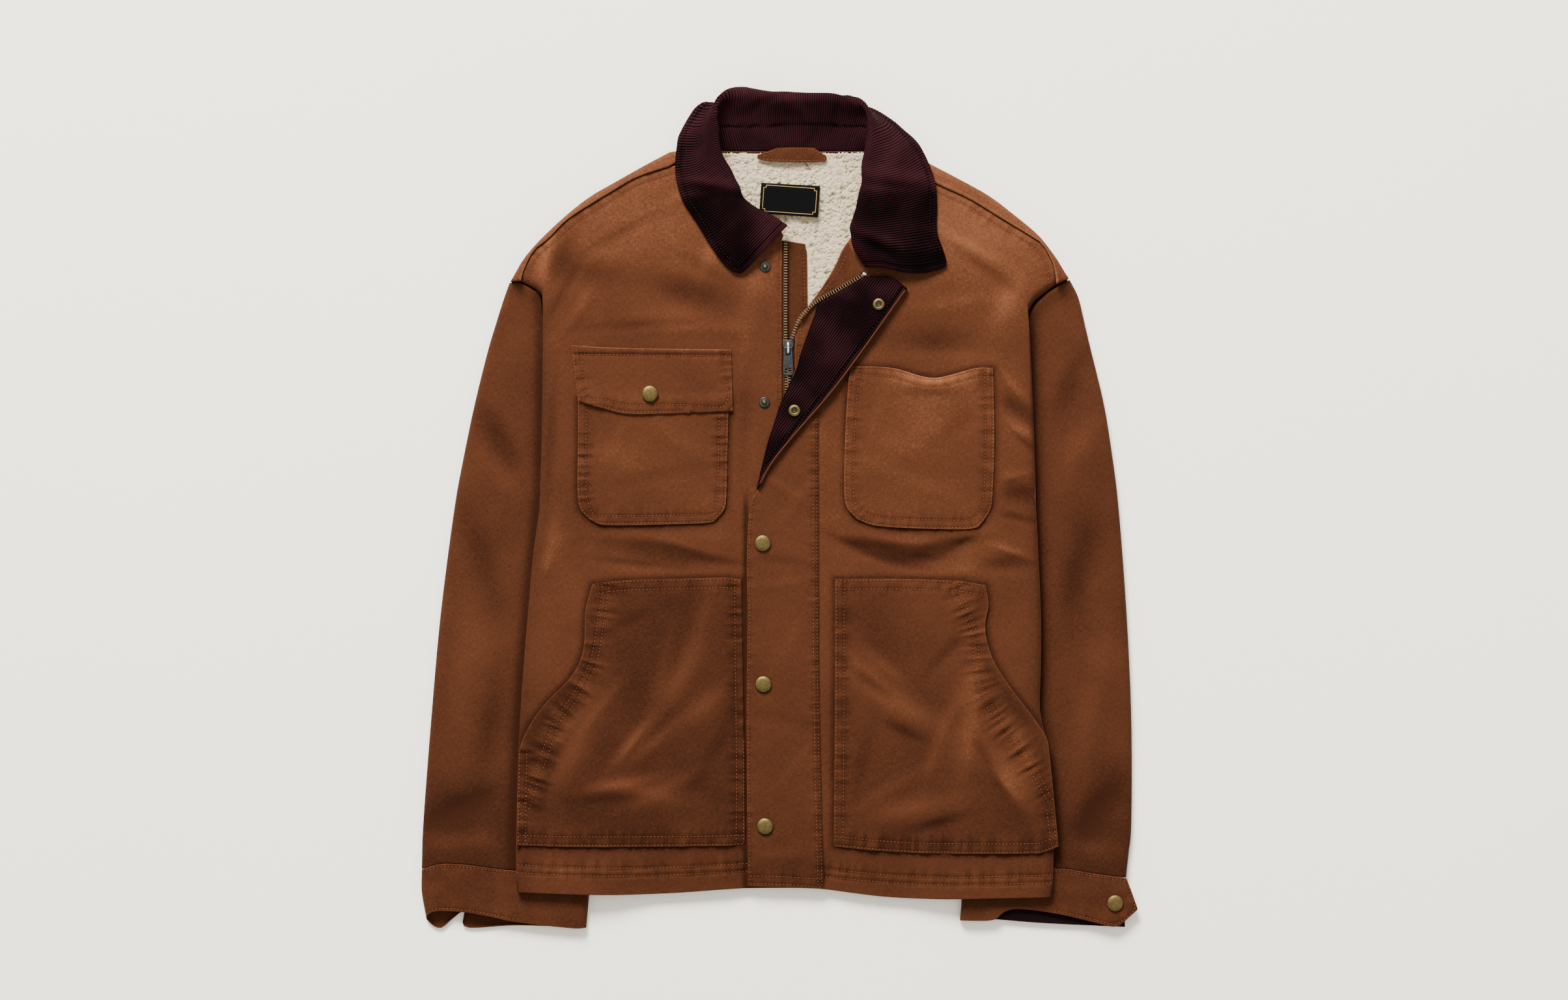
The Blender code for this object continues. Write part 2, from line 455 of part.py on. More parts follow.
def build_back():
    """Flat on the surface, raised over the sleeves, rolled forward over both shoulders."""
    across = fractions(15, start=(0.006, 0.016, 0.04, 0.08), end=(0.006, 0.016, 0.04, 0.08))
    up = np.concatenate([np.linspace(0, 0.56, 9), [0.62, 0.68], np.linspace(0.74, 1.0, 6)])
    neck_from, neck_to = 0.36, 0.64
    hem = [(x, y + 1.5) for x, y in RIGHT_HEM[:-1]] + [(x, y + 1.5) for x, y in LEFT_HEM[1:]]
    lower_right = [point for point in RIGHT_SIDE if point[1] < 20]
    lower_left = [point for point in LEFT_SIDE if point[1] < 20]
    armhole_right = offset_line(ARMHOLE_RIGHT[::-1], -SEAM)
    armhole_left = offset_line(ARMHOLE_LEFT[::-1], SEAM)
    outline = joined([(neck_from, SHOULDER_RIGHT), (0.41, [(-100, 343), (-62, 341)]),
                      (0.59, [(-62, 341), (15, 341), (90, 341)]), (neck_to, [(90, 341), (120, 343)]),
                      (1.0, SHOULDER_LEFT)], across)
    seam = joined([(neck_from, [point for point in RIGHT_SEAM if point[0] < -99]), (0.41, [(-100, 327), (-62, 341)]),
                   (0.59, [(-62, 341), (15, 341), (90, 341)]), (neck_to, [(90, 341), (118, 325)]),
                   (1.0, [point for point in LEFT_SEAM[::-1] if point[0] > 117])], across)
    outward = outline - [15, 60]
    outward /= np.linalg.norm(outward, axis=1)[:, None]
    turn = 8.0
    top = outline - turn * outward
    top[0] = armhole_right[-1] + [2.5, -1.6]
    top[-1] = armhole_left[-1] + [-1.5, -1.0]
    straight = top[0] + (top[-1] - top[0]) * across[:, None]
    plan = patch(along(hem, across), straight,
                 joined([(0.56, lower_right), (0.62, [(-228, 0), (-226.5, 38)]),
                         (0.68, [(-226.5, 38), (-164, 54)]), (1.0, armhole_right)], up),
                 joined([(0.56, lower_left), (0.62, [(244.5, 0), (243.5, 38)]),
                         (0.68, [(243.5, 38), (174, 54)]), (1.0, armhole_left)], up), across, up)
    plan = plan + (top - straight)[None] * smooth_step(up, 0.68, 1.0)[:, None, None]
    x, y = plan[..., 0], plan[..., 1]
    wing = smooth_step(np.abs(x - 5), 104, 138) * (1 - smooth_step(y, 90, 124))
    height = (SLEEVE_TOP + 0.6) * wing
    height = height + NECK_HEIGHT * smooth_step(y, 296, 330) * (1 - smooth_step(np.abs(x - 14), 70, 112))
    below_arm = y[:, :1] < 45
    for column in (0, -1):
        rise = turned_edge(plan, column, 7.0) * (SIDE_HEIGHT - height[:, column][:, None])
        height = height + np.where(below_arm, rise, 0)
    rows = list(with_height(plan, height))
    at_neck = smooth_step(across, neck_from - 0.01, 0.41) * (1 - smooth_step(across, 0.59, neck_to + 0.01))
    sign = np.where(outline[:, 0] < 0, -1.0, 1.0)
    seam_height = np.array([front_form(point[None, None], s, [], 500)[0, 0] for point, s in zip(seam, sign)])
    away = outline - seam
    away /= np.maximum(np.linalg.norm(away, axis=1), 0.1)[:, None]
    seam_gap = SEAM * (4 + 4 * smooth_step(np.abs(seam[:, :1] - 10), 170, 215))
    seam = seam + seam_gap * away
    base = rows[-1]
    for angle in np.radians([22, 45, 68, 90, 112, 135, 158, 180]):
        forward = angle > math.radians(90)
        if forward:
            flat = seam + (outline - seam) * math.sin(angle)
        else:
            flat = base[:, :2] + (outline - base[:, :2]) * math.sin(angle)
        rolled = 0.5 * seam_height * (1 - math.cos(angle))
        lifted = base[:, 2] + (NECK_HEIGHT - base[:, 2]) * angle / math.pi
        neck_flat = base[:, :2] + (outline - base[:, :2]) * angle / math.pi
        mix = at_neck[:, None]
        rows.append(np.column_stack([flat * (1 - mix) + neck_flat * mix, rolled * (1 - at_neck) + lifted * at_neck]))
    points = np.array(rows)
    over_sleeve = points[..., 1] < 50
    side_columns = (0, -1)
    lifted = laid_on(points, surface("sleeve_right_top", "sleeve_left_top", "cuff_right_top", "cuff_left_top"),
                     0.5, reach=4.0, lift_only=True)
    points = np.where(over_sleeve[..., None] & (np.abs(points[..., 0:1] - 5) > 150), lifted, points)
    cloth("back", points, BODY_WALL, "canvas", face_down=True, upright_columns=side_columns,
          level_rows=(9, 10, 11, -1))


def sleeve_height(plan, side_line, roll_end=True):
    """Top of a sleeve or cuff: fuller beyond the body's side, rounded along both edges."""
    x, y = plan[..., 0], plan[..., 1]
    line = np.array(sorted(side_line, key=lambda point: point[1]))
    side = np.interp(y, line[:, 1], np.abs(line[:, 0]))
    showing = smooth_step(np.abs(x) - side, 4, 40)
    height = SLEEVE_TOP + SLEEVE_RISE * showing + folds(x, y, SLEEVE_FOLDS) * showing
    for column in (0, -1):
        if column == 0 and not roll_end:
            continue
        edge = height[:, column][:, None] - SLEEVE_SIDE - SEAM
        height = height - turned_edge(plan, column, 6.5) * edge
    return height


def under_height(plan, roll_end=True):
    height = turned_edge(plan, -1, 6.5) * SLEEVE_SIDE
    if roll_end:
        height = height + turned_edge(plan, 0, 6.5) * SLEEVE_SIDE
    return height


def build_sleeves():
    across = fractions(6, start=(0.01, 0.028, 0.06), end=(0.01, 0.028, 0.06))
    up = fractions(15)
    armholes = {"right": offset_line(ARMHOLE_RIGHT, -3 * SEAM), "left": offset_line(ARMHOLE_LEFT, 3 * SEAM)}
    for side, lines in SLEEVES.items():
        body_side = RIGHT_SIDE if side == "right" else LEFT_SIDE
        turn = slice(None) if side == "right" else slice(None, None, -1)
        for half in ("top", "under"):
            head, inner = lines["head"], lines["inner"]
            if half == "under":
                head = [head[0]] + [tuple(point) for point in armholes[side][1:]]
                inner = [head[-1]] + inner[1:]
            plan = patch(along(lines["seam"], across), along(head, across), along(lines["outer"][::-1], up),
                         along(inner[::-1], up), across, up)
            height = sleeve_height(plan, body_side) if half == "top" else under_height(plan)
            points = with_height(plan, height)[:, turn]
            cloth(f"sleeve_{side}_{half}", points, SLEEVE_WALL, "canvas", half == "under", (0, -1), (-1,))


def build_cuffs():
    across = fractions(6, start=(0.01, 0.028, 0.06), end=(0.01, 0.028, 0.06))
    for side, lines in CUFFS.items():
        body_side = RIGHT_SIDE if side == "right" else LEFT_SIDE
        turn = slice(None) if side == "right" else slice(None, None, -1)
        tab = side == "left"
        for half in ("top", "under"):
            seam = np.array(SLEEVES[side]["seam"]) - [0, 1.5 * SEAM if half == "top" else 6 * SEAM]
            up = fractions(5)
            columns = across
            edge = lines["edge"] if half == "top" else lines["under"]
            end = [tuple(seam[0])] + lines["end"][1:]
            if half == "under" and tab:
                end = [tuple(seam[0]), (330.5, -370), edge[0]]
            if half == "under" and not tab:
                columns = np.array([0, 0.01, 0.028, 0.05, 0.085, 0.13, 0.18, 0.215, 0.226, 0.2965, 0.306, 0.4, 0.55, 0.7,
                                    0.85, 0.94, 0.972, 0.99, 1])
                end = end[:-1] + [edge[0]]
            inner = [tuple(seam[-1])] + lines["inner"][1:-1] + [edge[-1]]
            rows = along(end[::-1], up)
            if half == "top" and tab:
                rows = joined([(0.4, [TAB_CORNER[1], TAB_CORNER[0]]), (1.0, end[::-1])], up)
            plan = patch(along(edge, columns), along(seam, columns), rows, along(inner[::-1], up), columns, up)
            height = (sleeve_height(plan, body_side, not tab) if half == "top" else under_height(plan, not tab))
            points = with_height(plan, height)[:, turn]
            upright = (0,) if tab else (0, -1)
            cloth(f"cuff_{side}_{half}", points, SLEEVE_WALL - 0.4, "canvas", half == "under", upright)
    columns = fractions(8)
    rows = fractions(3)
    plan = patch(along(KNIT_EDGE, columns), along([(208, -360), (328.5, -362)], columns),
                 along([(206, -391), (208, -360)], rows), along([(330, -398.3), (328.5, -362)], rows), columns, rows)
    cloth("cuff_left_knit", with_height(plan, np.full(plan.shape[:2], 5.6)), 2.2, "knit")


def build_lining():
    """Pile lining between back and fronts; it shows in the neck."""
    across = fractions(12)
    up = fractions(16)
    plan = patch(along([(-92, -305), (0, -305), (102, -305)], across), along([(-56, 339), (82, 339)], across),
                 along([(-92, -305), (-92, -100), (-92, 80), (-150, 190), (-108, 290), (-56, 339)], up),
                 along([(102, -305), (102, -100), (102, 80), (160, 190), (132, 290), (82, 339)], up), across, up)
    x, y = plan[..., 0], plan[..., 1]
    height = LINING_TOP - 3.3 * smooth_step(-np.abs(x - 13), -50, -22) * smooth_step(-y, -305, -272)
    height = height - 1.6 * smooth_step(y, 300, 338)
    flat = with_height(plan, np.zeros_like(height))
    bottom = laid_on(flat, surface("back", "sleeve_right_top", "sleeve_left_top"), 1.2, reach=13.0)[..., 2]
    height = np.maximum(height, bottom + 2.0)
    thick("lining", with_height(plan, height), with_height(plan, bottom), "pile")


def strip(name, plan, height, wall, material, rests_on=(), clearance=0.4, reach=4.0):
    """A narrow cloth piece at a height, or lifted onto what lies under it."""
    points = with_height(plan, np.broadcast_to(height, plan.shape[:2]).astype(float))
    if rests_on:
        points = laid_on(points, surface(*rests_on), wall + clearance, reach, lift_only=True)
    cloth(name, points, wall, material)


def between(left, right, columns, rows):
    """Plan points between two edges that run upwards."""
    left_edge, right_edge = along(left, rows), along(right, rows)
    return patch(along([left_edge[0], right_edge[0]], columns), along([left_edge[-1], right_edge[-1]], columns),
                 left_edge, right_edge, columns, rows)


def build_zip():
    rows = fractions(14)
    strip("zip_guard", between([(6.4, -300), (6.4, 100), (6.4, 256)], [(27, -300), (27, 190), (25, 253)],
                               fractions(3), rows), 10.2, 1.2, "canvas")
    strip("zip_tape_right", between([(-6, -300), (-6, 256)], [(7.2, -300), (7.2, 256)], fractions(3), rows),
          13.1, 1.0, "tape")
    strip("zip_tape_left", between([(10, -300), (10, 100), (10, 158)], [(19, -300), (19, 100), (20, 158)],
                                   fractions(3), rows), 13.1, 1.0, "tape")


def boxed(bm, low, high):
    """A box between two corners, added to a bmesh."""
    made = bmesh.ops.create_cube(bm, size=1)["verts"]
    size = Vector(high) - Vector(low)
    bmesh.ops.scale(bm, verts=made, vec=size)
    bmesh.ops.translate(bm, verts=made, vec=(Vector(low) + Vector(high)) / 2)


def joined_boxes(name, boxes, material):
    """Boxes joined into one body."""
    pieces = []
    for number, (low, high) in enumerate(boxes):
        bm = bmesh.new()
        boxed(bm, low, high)
        pieces.append(place(name if number == 0 else f"{name}_cut_{number}", bm, material))
    main_piece = pieces[0]
    for other in pieces[1:]:
        join = main_piece.modifiers.new("join", "BOOLEAN")
        join.operation = "UNION"
        join.object = other
        other.hide_render = True
        other.display_type = "WIRE"
    return main_piece


def build_slider():
    """Slider with its bridge, and the pull tab whose eye turns on a pin line under the bridge."""
    floor, ceiling = 10.9, HINGE_Z - 1.55
    x, y = ZIP_X, HINGE_Y
    joined_boxes("slider", [
        ((x - 5.3, y - 7.2, ceiling - 1.3), (x + 5.3, y + 8.2, ceiling)),
        ((x - 4.9, y - 7.0, floor), (x + 4.9, y + 8.0, floor + 0.9)),
        ((x - 0.9, y + 1.0, floor + 0.4), (x + 0.9, y + 7.2, ceiling - 0.4)),
        ((x - 1.3, y - 6.4, ceiling - 0.4), (x + 1.3, y - 4.6, HINGE_Z + 2.7)),
        ((x - 1.3, y + 4.6, ceiling - 0.4), (x + 1.3, y + 6.4, HINGE_Z + 2.7)),
        ((x - 1.2, y - 6.3, HINGE_Z + 1.4), (x + 1.2, y + 6.3, HINGE_Z + 2.9))], "gunmetal")
    build_tab()


def build_tab():
    """Pull tab: a plate with an eye at the hinge and a slot at its low end."""
    half, eye, slot = TAB_WIDTH / 2, 2.3, 2.6
    top = TAB_THICKNESS / 2
    foot = top - TAB_LENGTH
    levels = [top, -top, -EYE_LENGTH, foot + 7.0, foot + 2.0, foot]
    widths = [3.9, 4.0, 4.2, half, half, half - 0.6]
    bm = bmesh.new()
    rows = []
    for level, width in zip(levels, widths):
        hole = eye if level > foot + 8 else slot
        rows.append([bm.verts.new((across, level, top)) for across in (-width, -hole, hole, width)])
    holes = {1, 3}
    for number, (upper, lower) in enumerate(zip(rows, rows[1:])):
        for side in range(3):
            if number in holes and side == 1:
                continue
            bm.faces.new((lower[side], lower[side + 1], upper[side + 1], upper[side]))
    bmesh.ops.recalc_face_normals(bm, faces=bm.faces)
    if bm.faces[0].normal.z < 0:
        bmesh.ops.reverse_faces(bm, faces=bm.faces)
    bmesh.ops.solidify(bm, geom=list(bm.faces), thickness=TAB_THICKNESS)
    bmesh.ops.translate(bm, verts=bm.verts, vec=(ZIP_X, HINGE_Y, HINGE_Z))
    place("pull_tab", bm, "gunmetal", origin=(ZIP_X, HINGE_Y, HINGE_Z))


def build_facing():
    """Facing of the left front's turned edge, between its roll line and the zip teeth."""
    rows = fractions(8)
    columns = np.array([0, 0.07, 0.2, 0.45, 0.75, 1])
    plan = between([(20.5, 181), (29.5, 193.5), (37.5, 206.5), (45.6, 218.5), (53.6, 231.5), (61, 247.5),
                    (65.5, 254)],
                   [(22.5, 180.5), (29.5, 189), (38.5, 200), (53, 208.5), (68, 217.5), (76, 223), (79, 226)],
                   columns, rows)
    strip("facing_left", plan, 17.6, FACING_WALL, "canvas", ("front_left",))


def build_flap():
    rows = fractions(24)
    columns = fractions(5, start=(0.03, 0.1))
    plan = between(FLAP_EDGE, FLAP_SEAM, columns, rows)
    height = np.full(plan.shape[:2], FLAP_LEVEL)
    height = height - HEM_DROP * smooth_step(-plan[..., 1], 325, 368)
    points = laid_on(with_height(plan, height), surface("front_right", "front_left"), FLAP_WALL + 0.35, 5.0,
                     lift_only=True)
    cloth("storm_flap", points, FLAP_WALL, "canvas")
    rows = fractions(17)
    columns = fractions(5, start=(0.02, 0.05, 0.1))
    left_edge, right_edge = along(TURN_LINE, rows), along(TURNED_EDGE, rows)
    plan = patch(along([left_edge[0], right_edge[0]], columns), along(TURNED_TOP, columns), left_edge, right_edge,
                 columns, rows)
    height = np.full(plan.shape[:2], TURNED_LEVEL)
    height = height - turned_edge(plan, 0, 4.5) * 5.0
    points = laid_on(with_height(plan, height),
                     surface("front_right", "front_left", "storm_flap", "facing_left", "chest_pocket_left"),
                     FLAP_WALL + FACING_WALL + 0.6, 5.0, lift_only=True)
    cloth("flap_facing", points, FLAP_WALL + FACING_WALL, "corduroy")


def build_pockets():
    for name, lines in POCKETS.items():
        big = name.startswith("lower")
        columns = fractions(11 if big else 8, start=(0.035,), end=(0.035,))
        rows = fractions(13 if big else 9, start=(0.035,), end=(0.035,))
        plan = patch(along(lines["lower"], columns), along(lines["upper"], columns), along(lines["left"], rows),
                     along(lines["right"], rows), columns, rows)
        lifted = folds(plan[..., 0], plan[..., 1], lines["folds"])
        inner = smooth_step(np.minimum(columns, 1 - columns), 0, 0.1)[None, :]
        lower_part = smooth_step(rows, 0, 0.1)[:, None]
        points = laid_on(with_height(plan, lifted * inner * lower_part), surface(lines["front"]),
                         POCKET_WALL + 0.45, 6.0)
        beside = points[..., 2] < 12
        points[..., 2] = np.where(beside, np.median(points[..., 2]) + 0.2, points[..., 2])
        cloth(name, points, POCKET_WALL, "canvas")
    columns = fractions(9, start=(0.035,), end=(0.035,))
    rows = fractions(6, start=(0.06,), end=(0.06,))
    plan = patch(along([(-190.5, 103), (-168, 96.5), (-144, 91), (-100, 91.5), (-44, 93.6)], columns),
                 along([(-197.5, 156), (-150, 153.5), (-45.7, 152)], columns),
                 along([(-190.5, 103), (-197.5, 156)], rows), along([(-44, 93.6), (-45.7, 152)], rows), columns, rows)
    lifted = folds(plan[..., 0], plan[..., 1], [(-182, 100, 0, 26, 18, 3.0), (-100, 96, 0, 60, 12, 0.8)])
    points = laid_on(with_height(plan, lifted), surface("front_right", "chest_pocket_right"), POCKET_WALL + 0.45, 6.0)
    cloth("chest_pocket_flap", points, POCKET_WALL, "canvas")


def build_collar():
    """Collar: neck seam, stand, roll line and fall, one profile at each station."""
    stations = []
    for neck_x, neck_y, neck_z, roll_x, roll_y, roll_z, edge_x, edge_y, edge_z, direction, lean in COLLAR:
        neck = np.array([neck_x, neck_y, neck_z], float)
        roll = np.array([roll_x, roll_y, roll_z], float)
        edge = np.array([edge_x, edge_y, edge_z], float)
        outward = np.array([math.cos(math.radians(direction)), math.sin(math.radians(direction)), 0])
        lift = np.array([0, 0, 1.0])
        folded = [neck, roll + outward * 2.0 - lift * 5, roll, roll + outward * 6 + lift * 4.5,
                  (roll + edge) / 2 + outward * 3 + lift * 4, edge]
        laid = [neck, (neck + roll) / 2 - lift * 0.5, roll - outward * 7 + lift * 4, roll - lift * 4,
                roll - outward * 10 - lift * (roll_z - 2.2), edge]
        stations.append([a * (1 - lean) + b * lean for a, b in zip(folded, laid)])
    stations = np.array(stations)
    columns = 34
    lines = np.array([along(stations[:, part], fractions(columns)) for part in range(6)])
    profile = np.array([0, 0.08, 0.16, 0.24, 0.32, 0.42, 0.54, 0.67, 0.8, 0.9, 1.0])
    points = np.array([along(lines[:, column], profile) for column in range(columns)])
    points = points.transpose(1, 0, 2)
    points[..., 2] = np.maximum(points[..., 2], 0.6)
    below = surface("front_right", "front_left", "back", "facing_left", "flap_facing")
    at_neck = laid_on(points[:3], below, 1.2, 4.0, lift_only=True)
    fall = laid_on(points[4:], below, COLLAR_WALL + 0.6, 5.0, lift_only=True)
    behind = points[4:, :, 1] > 344
    fall = np.where((behind & (points[4:, :, 2] < 8))[..., None], points[4:], fall)
    points[:3] = np.where((points[:3, :, 1:2] > 341.2), points[:3], at_neck)
    points[4:] = fall
    cloth("collar", points, COLLAR_WALL, "corduroy")


def build_neck_trims():
    columns = fractions(8)
    rows = fractions(3)
    plan = patch(along([(-21, 333), (-5, 331), (18, 330.5), (41, 331), (46, 334)], columns),
                 along([(-20.6, 338), (-1, 343.5), (16, 344.5), (32, 343.5), (44.5, 338)], columns),
                 along([(-21, 333), (-20.6, 338)], rows), along([(46, 334), (44.5, 338)], rows), columns, rows)
    strip("hanger_loop", plan, 12.5, 1.2, "canvas", ("lining", "collar"))
    columns = fractions(6)
    rows = fractions(4)
    plan = patch(along([(-19, 282), (37, 278)], columns), along([(-17, 311), (39, 308)], columns),
                 along([(-19, 282), (-17, 311)], rows), along([(37, 278), (39, 308)], rows), columns, rows)
    strip("label", plan, 9.0, 1.0, "weave", ("lining",), reach=6.0)


CAP_PROFILE = [(0, 0), (7.2, 0), (7.75, 0.5), (7.6, 1.4), (6.6, 2.2), (4.0, 2.7), (0, 2.9)]
SOCKET_PROFILE = [(2.3, 0), (5.4, 0), (5.7, 0.6), (5.2, 1.6), (4.0, 2.0), (2.9, 1.7), (2.3, 1.0)]
STUD_PROFILE = [(0, 0), (5.0, 0), (5.0, 0.8), (4.2, 1.3), (2.6, 1.0), (2.2, 1.4), (2.2, 2.6), (1.5, 3.2), (0, 3.3)]
# name, profile, x, y, piece that carries it, finish
SNAPS = [
    ("cap_flap_1", CAP_PROFILE, -15.6, -32, "storm_flap", "brass"),
    ("cap_flap_2", CAP_PROFILE, -15, -166, "storm_flap", "brass"),
    ("cap_flap_3", CAP_PROFILE, -13.5, -301, "storm_flap", "brass"),
    ("cap_pocket", CAP_PROFILE, -122.7, 110, "chest_pocket_flap", "brass"),
    ("cap_cuff", CAP_PROFILE, 320, -375, "cuff_left_top", "brass"),
    ("socket_1", SOCKET_PROFILE, 14.5, 94, "flap_facing", "brass"),
    ("socket_2", SOCKET_PROFILE, 94.5, 195, "flap_facing", "brass"),
    ("stud_1", STUD_PROFILE, -14, 102, "front_right", "gunmetal"),
    ("stud_2", STUD_PROFILE, -13.3, 231, "front_right", "gunmetal"),
]


def build_snaps():
    for name, profile, x, y, carrier, material in SNAPS:
        radius = max(point[0] for point in profile)
        seat = height_under(surface(carrier), x, y, radius) + 0.3
        turned(name, profile, (x, y, seat), material, hollow=profile is SOCKET_PROFILE)


def main():
    for item in list(bpy.data.objects):
        bpy.data.objects.remove(item, do_unlink=True)
    jacket = bpy.data.objects.new("jacket", None)
    bpy.context.scene.collection.objects.link(jacket)
    build_sleeves()
    build_cuffs()
    build_back()
    build_fronts()
    build_lining()
    build_zip()
    build_slider()
    build_facing()
    build_pockets()
    build_flap()
    build_collar()
    build_neck_trims()
    build_snaps()
    jacket.location = (-CENTRE[0] * MM, -CENTRE[1] * MM, 0)


main()
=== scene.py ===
import math

import bmesh
import bpy
import numpy as np
from mathutils import Matrix, Vector
from mathutils.bvhtree import BVHTree


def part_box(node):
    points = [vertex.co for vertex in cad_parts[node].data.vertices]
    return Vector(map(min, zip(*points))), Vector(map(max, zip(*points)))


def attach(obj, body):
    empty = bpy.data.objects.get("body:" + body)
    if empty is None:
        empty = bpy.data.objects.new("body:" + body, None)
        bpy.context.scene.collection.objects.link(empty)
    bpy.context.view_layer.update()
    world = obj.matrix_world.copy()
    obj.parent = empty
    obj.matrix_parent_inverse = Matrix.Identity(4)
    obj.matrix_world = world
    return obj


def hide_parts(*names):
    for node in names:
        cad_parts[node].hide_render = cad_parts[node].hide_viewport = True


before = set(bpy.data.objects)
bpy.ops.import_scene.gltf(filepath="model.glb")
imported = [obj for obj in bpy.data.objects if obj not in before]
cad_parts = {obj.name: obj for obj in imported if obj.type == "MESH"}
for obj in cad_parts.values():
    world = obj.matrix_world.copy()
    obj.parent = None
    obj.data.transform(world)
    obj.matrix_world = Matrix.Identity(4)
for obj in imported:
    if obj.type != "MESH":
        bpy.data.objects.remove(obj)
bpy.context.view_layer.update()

# All sizes are millimetres in the photograph's plane: x to the right, y towards the collar, z up.
# The pocket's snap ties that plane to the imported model.
mm = 0.001
pocketSnapAt = (-122.7, 110.0)
snapLow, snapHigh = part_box("cap_pocket")
shiftX = (snapLow.x + snapHigh.x) / 2 / mm - pocketSnapAt[0]
shiftY = (snapLow.y + snapHigh.y) / 2 / mm - pocketSnapAt[1]

# how the layers lie, heights of their outer faces
layers = {
    "sleeveTop": 9.6,
    "sleeveSide": 4.7,
    "sideSeam": 14.4,
    "front": 17.2,
    "overSleeve": 2.4,
    "hemDrop": 7.0,
    "backNeck": 6.0,
    "flap": 18.3,
    "turnedFlap": 23.0,
    "lining": 11.6,
}


# ---- curves, patches and small helpers

def smoothStep(value, start, end):
    t = np.clip((value - start) / (end - start), 0.0, 1.0)
    return t * t * (3.0 - 2.0 * t)


def alongLine(points, shares):
    # places at shares of the length of a smooth line through the points
    knots = np.array(points, float)
    ends = np.vstack([2 * knots[0] - knots[1], knots, 2 * knots[-1] - knots[-2]])
    t = np.linspace(0, 1, 12, endpoint=False)[:, None]
    dense = []
    for before, start, end, after in zip(ends, ends[1:], ends[2:], ends[3:]):
        dense.append(0.5 * (2 * start + (end - before) * t
                            + (2 * before - 5 * start + 4 * end - after) * t**2
                            + (3 * start - before - 3 * end + after) * t**3))
    dense = np.vstack(dense + [knots[-1:]])
    steps = np.concatenate([[0], np.cumsum(np.linalg.norm(np.diff(dense, axis=0), axis=1))])
    places = steps[-1] * np.asarray(shares, float)
    return np.column_stack([np.interp(places, steps, dense[:, k]) for k in range(dense.shape[1])])


def joinLines(pieces, shares):
    # one edge made of several curves; each piece is (share at which it ends, points)
    shares = np.asarray(shares, float)
    places = np.zeros((len(shares), 2))
    start = 0.0
    for number, (end, points) in enumerate(pieces):
        inside = (shares <= end + 1e-9) & ((shares > start + 1e-9) | (number == 0))
        if inside.any():
            places[inside] = alongLine(points, (shares[inside] - start) / (end - start))
        start = end
    return places


def coonsPatch(bottom, top, left, right, across, up):
    u = np.asarray(across)[None, :, None]
    v = np.asarray(up)[:, None, None]
    corners = ((1 - u) * (1 - v) * bottom[0] + u * (1 - v) * bottom[-1]
               + (1 - u) * v * top[0] + u * v * top[-1])
    return ((1 - v) * bottom[None] + v * top[None] + (1 - u) * left[:, None] + u * right[:, None]) - corners


def edgeShares(count, size, rim=(0.25, 0.6, 1.1, 1.8, 2.8, 4.2)):
    # even shares of a size in millimetres, closer where both edges turn over
    first = rim[-1] / size
    middle = np.linspace(first, 1 - first, count)
    near = np.array(rim[:-1]) / size
    return np.concatenate([[0], near, middle, 1 - near[::-1], [1]])


def panelPlan(lower, upper, left, right, across, up):
    # a sheet between four lines, each given by a few points
    return coonsPatch(alongLine(lower, across), alongLine(upper, across),
                      alongLine(left, up), alongLine(right, up), across, up)


def betweenLines(left, right, across, up):
    leftEdge, rightEdge = alongLine(left, up), alongLine(right, up)
    return coonsPatch(alongLine([leftEdge[0], rightEdge[0]], across),
                      alongLine([leftEdge[-1], rightEdge[-1]], across), leftEdge, rightEdge, across, up)


def bell(value, width):
    return np.exp(-(value / width)**2)


def awayFrom(plan, edge):
    # distance of each place to the matching place on an edge
    return np.linalg.norm(plan - edge, axis=2)


def rimDistance(plan):
    # distance of each place to the panel's nearest edge
    return np.min([awayFrom(plan, edge) for edge in (plan[:, :1], plan[:, -1:], plan[:1], plan[-1:])], axis=0)


def rounded(distance, radius):
    # drop of a rounded edge, 1 on the edge and 0 at the radius
    t = 1 - np.clip(distance / radius, 0, 1)
    return 1 - np.sqrt(1 - t * t)


def turnedEdge(plan, column, width):
    return rounded(awayFrom(plan, plan[:, :1] if column == 0 else plan[:, -1:]), width)


def travelled(line):
    # the way along a line, at each of its points
    return np.concatenate([[0], np.cumsum(np.linalg.norm(np.diff(line, axis=0), axis=1))])


def softNoise(x, y, size, seed):
    # smooth noise from -1 to 1 with hills of about that size
    table = np.random.RandomState(seed).uniform(-1, 1, (64, 64))
    u, v = x / size, y / size
    i, j = np.floor(u).astype(int), np.floor(v).astype(int)
    a, b = u - i, v - j
    a, b = a * a * (3 - 2 * a), b * b * (3 - 2 * b)
    low = table[i & 63, j & 63] * (1 - a) + table[(i + 1) & 63, j & 63] * a
    high = table[i & 63, (j + 1) & 63] * (1 - a) + table[(i + 1) & 63, (j + 1) & 63] * a
    return low * (1 - b) + high * b


def crumple(x, y, seed):
    # the small hollows that washed canvas keeps
    return (0.55 * softNoise(x, y, 46, seed) + 0.28 * softNoise(x + 0.4 * y, y, 21, seed + 1)
            + 0.12 * softNoise(x, y - 0.3 * x, 9, seed + 2))


def foldHeight(x, y, table):
    total = np.zeros_like(x)
    for middleX, middleY, direction, reach, spread, rise in table:
        angle = math.radians(direction)
        lengthwise = (x - middleX) * math.cos(angle) + (y - middleY) * math.sin(angle)
        crosswise = (y - middleY) * math.cos(angle) - (x - middleX) * math.sin(angle)
        total += rise * np.exp(-(crosswise / spread)**2 - (lengthwise / reach)**2)
    return total


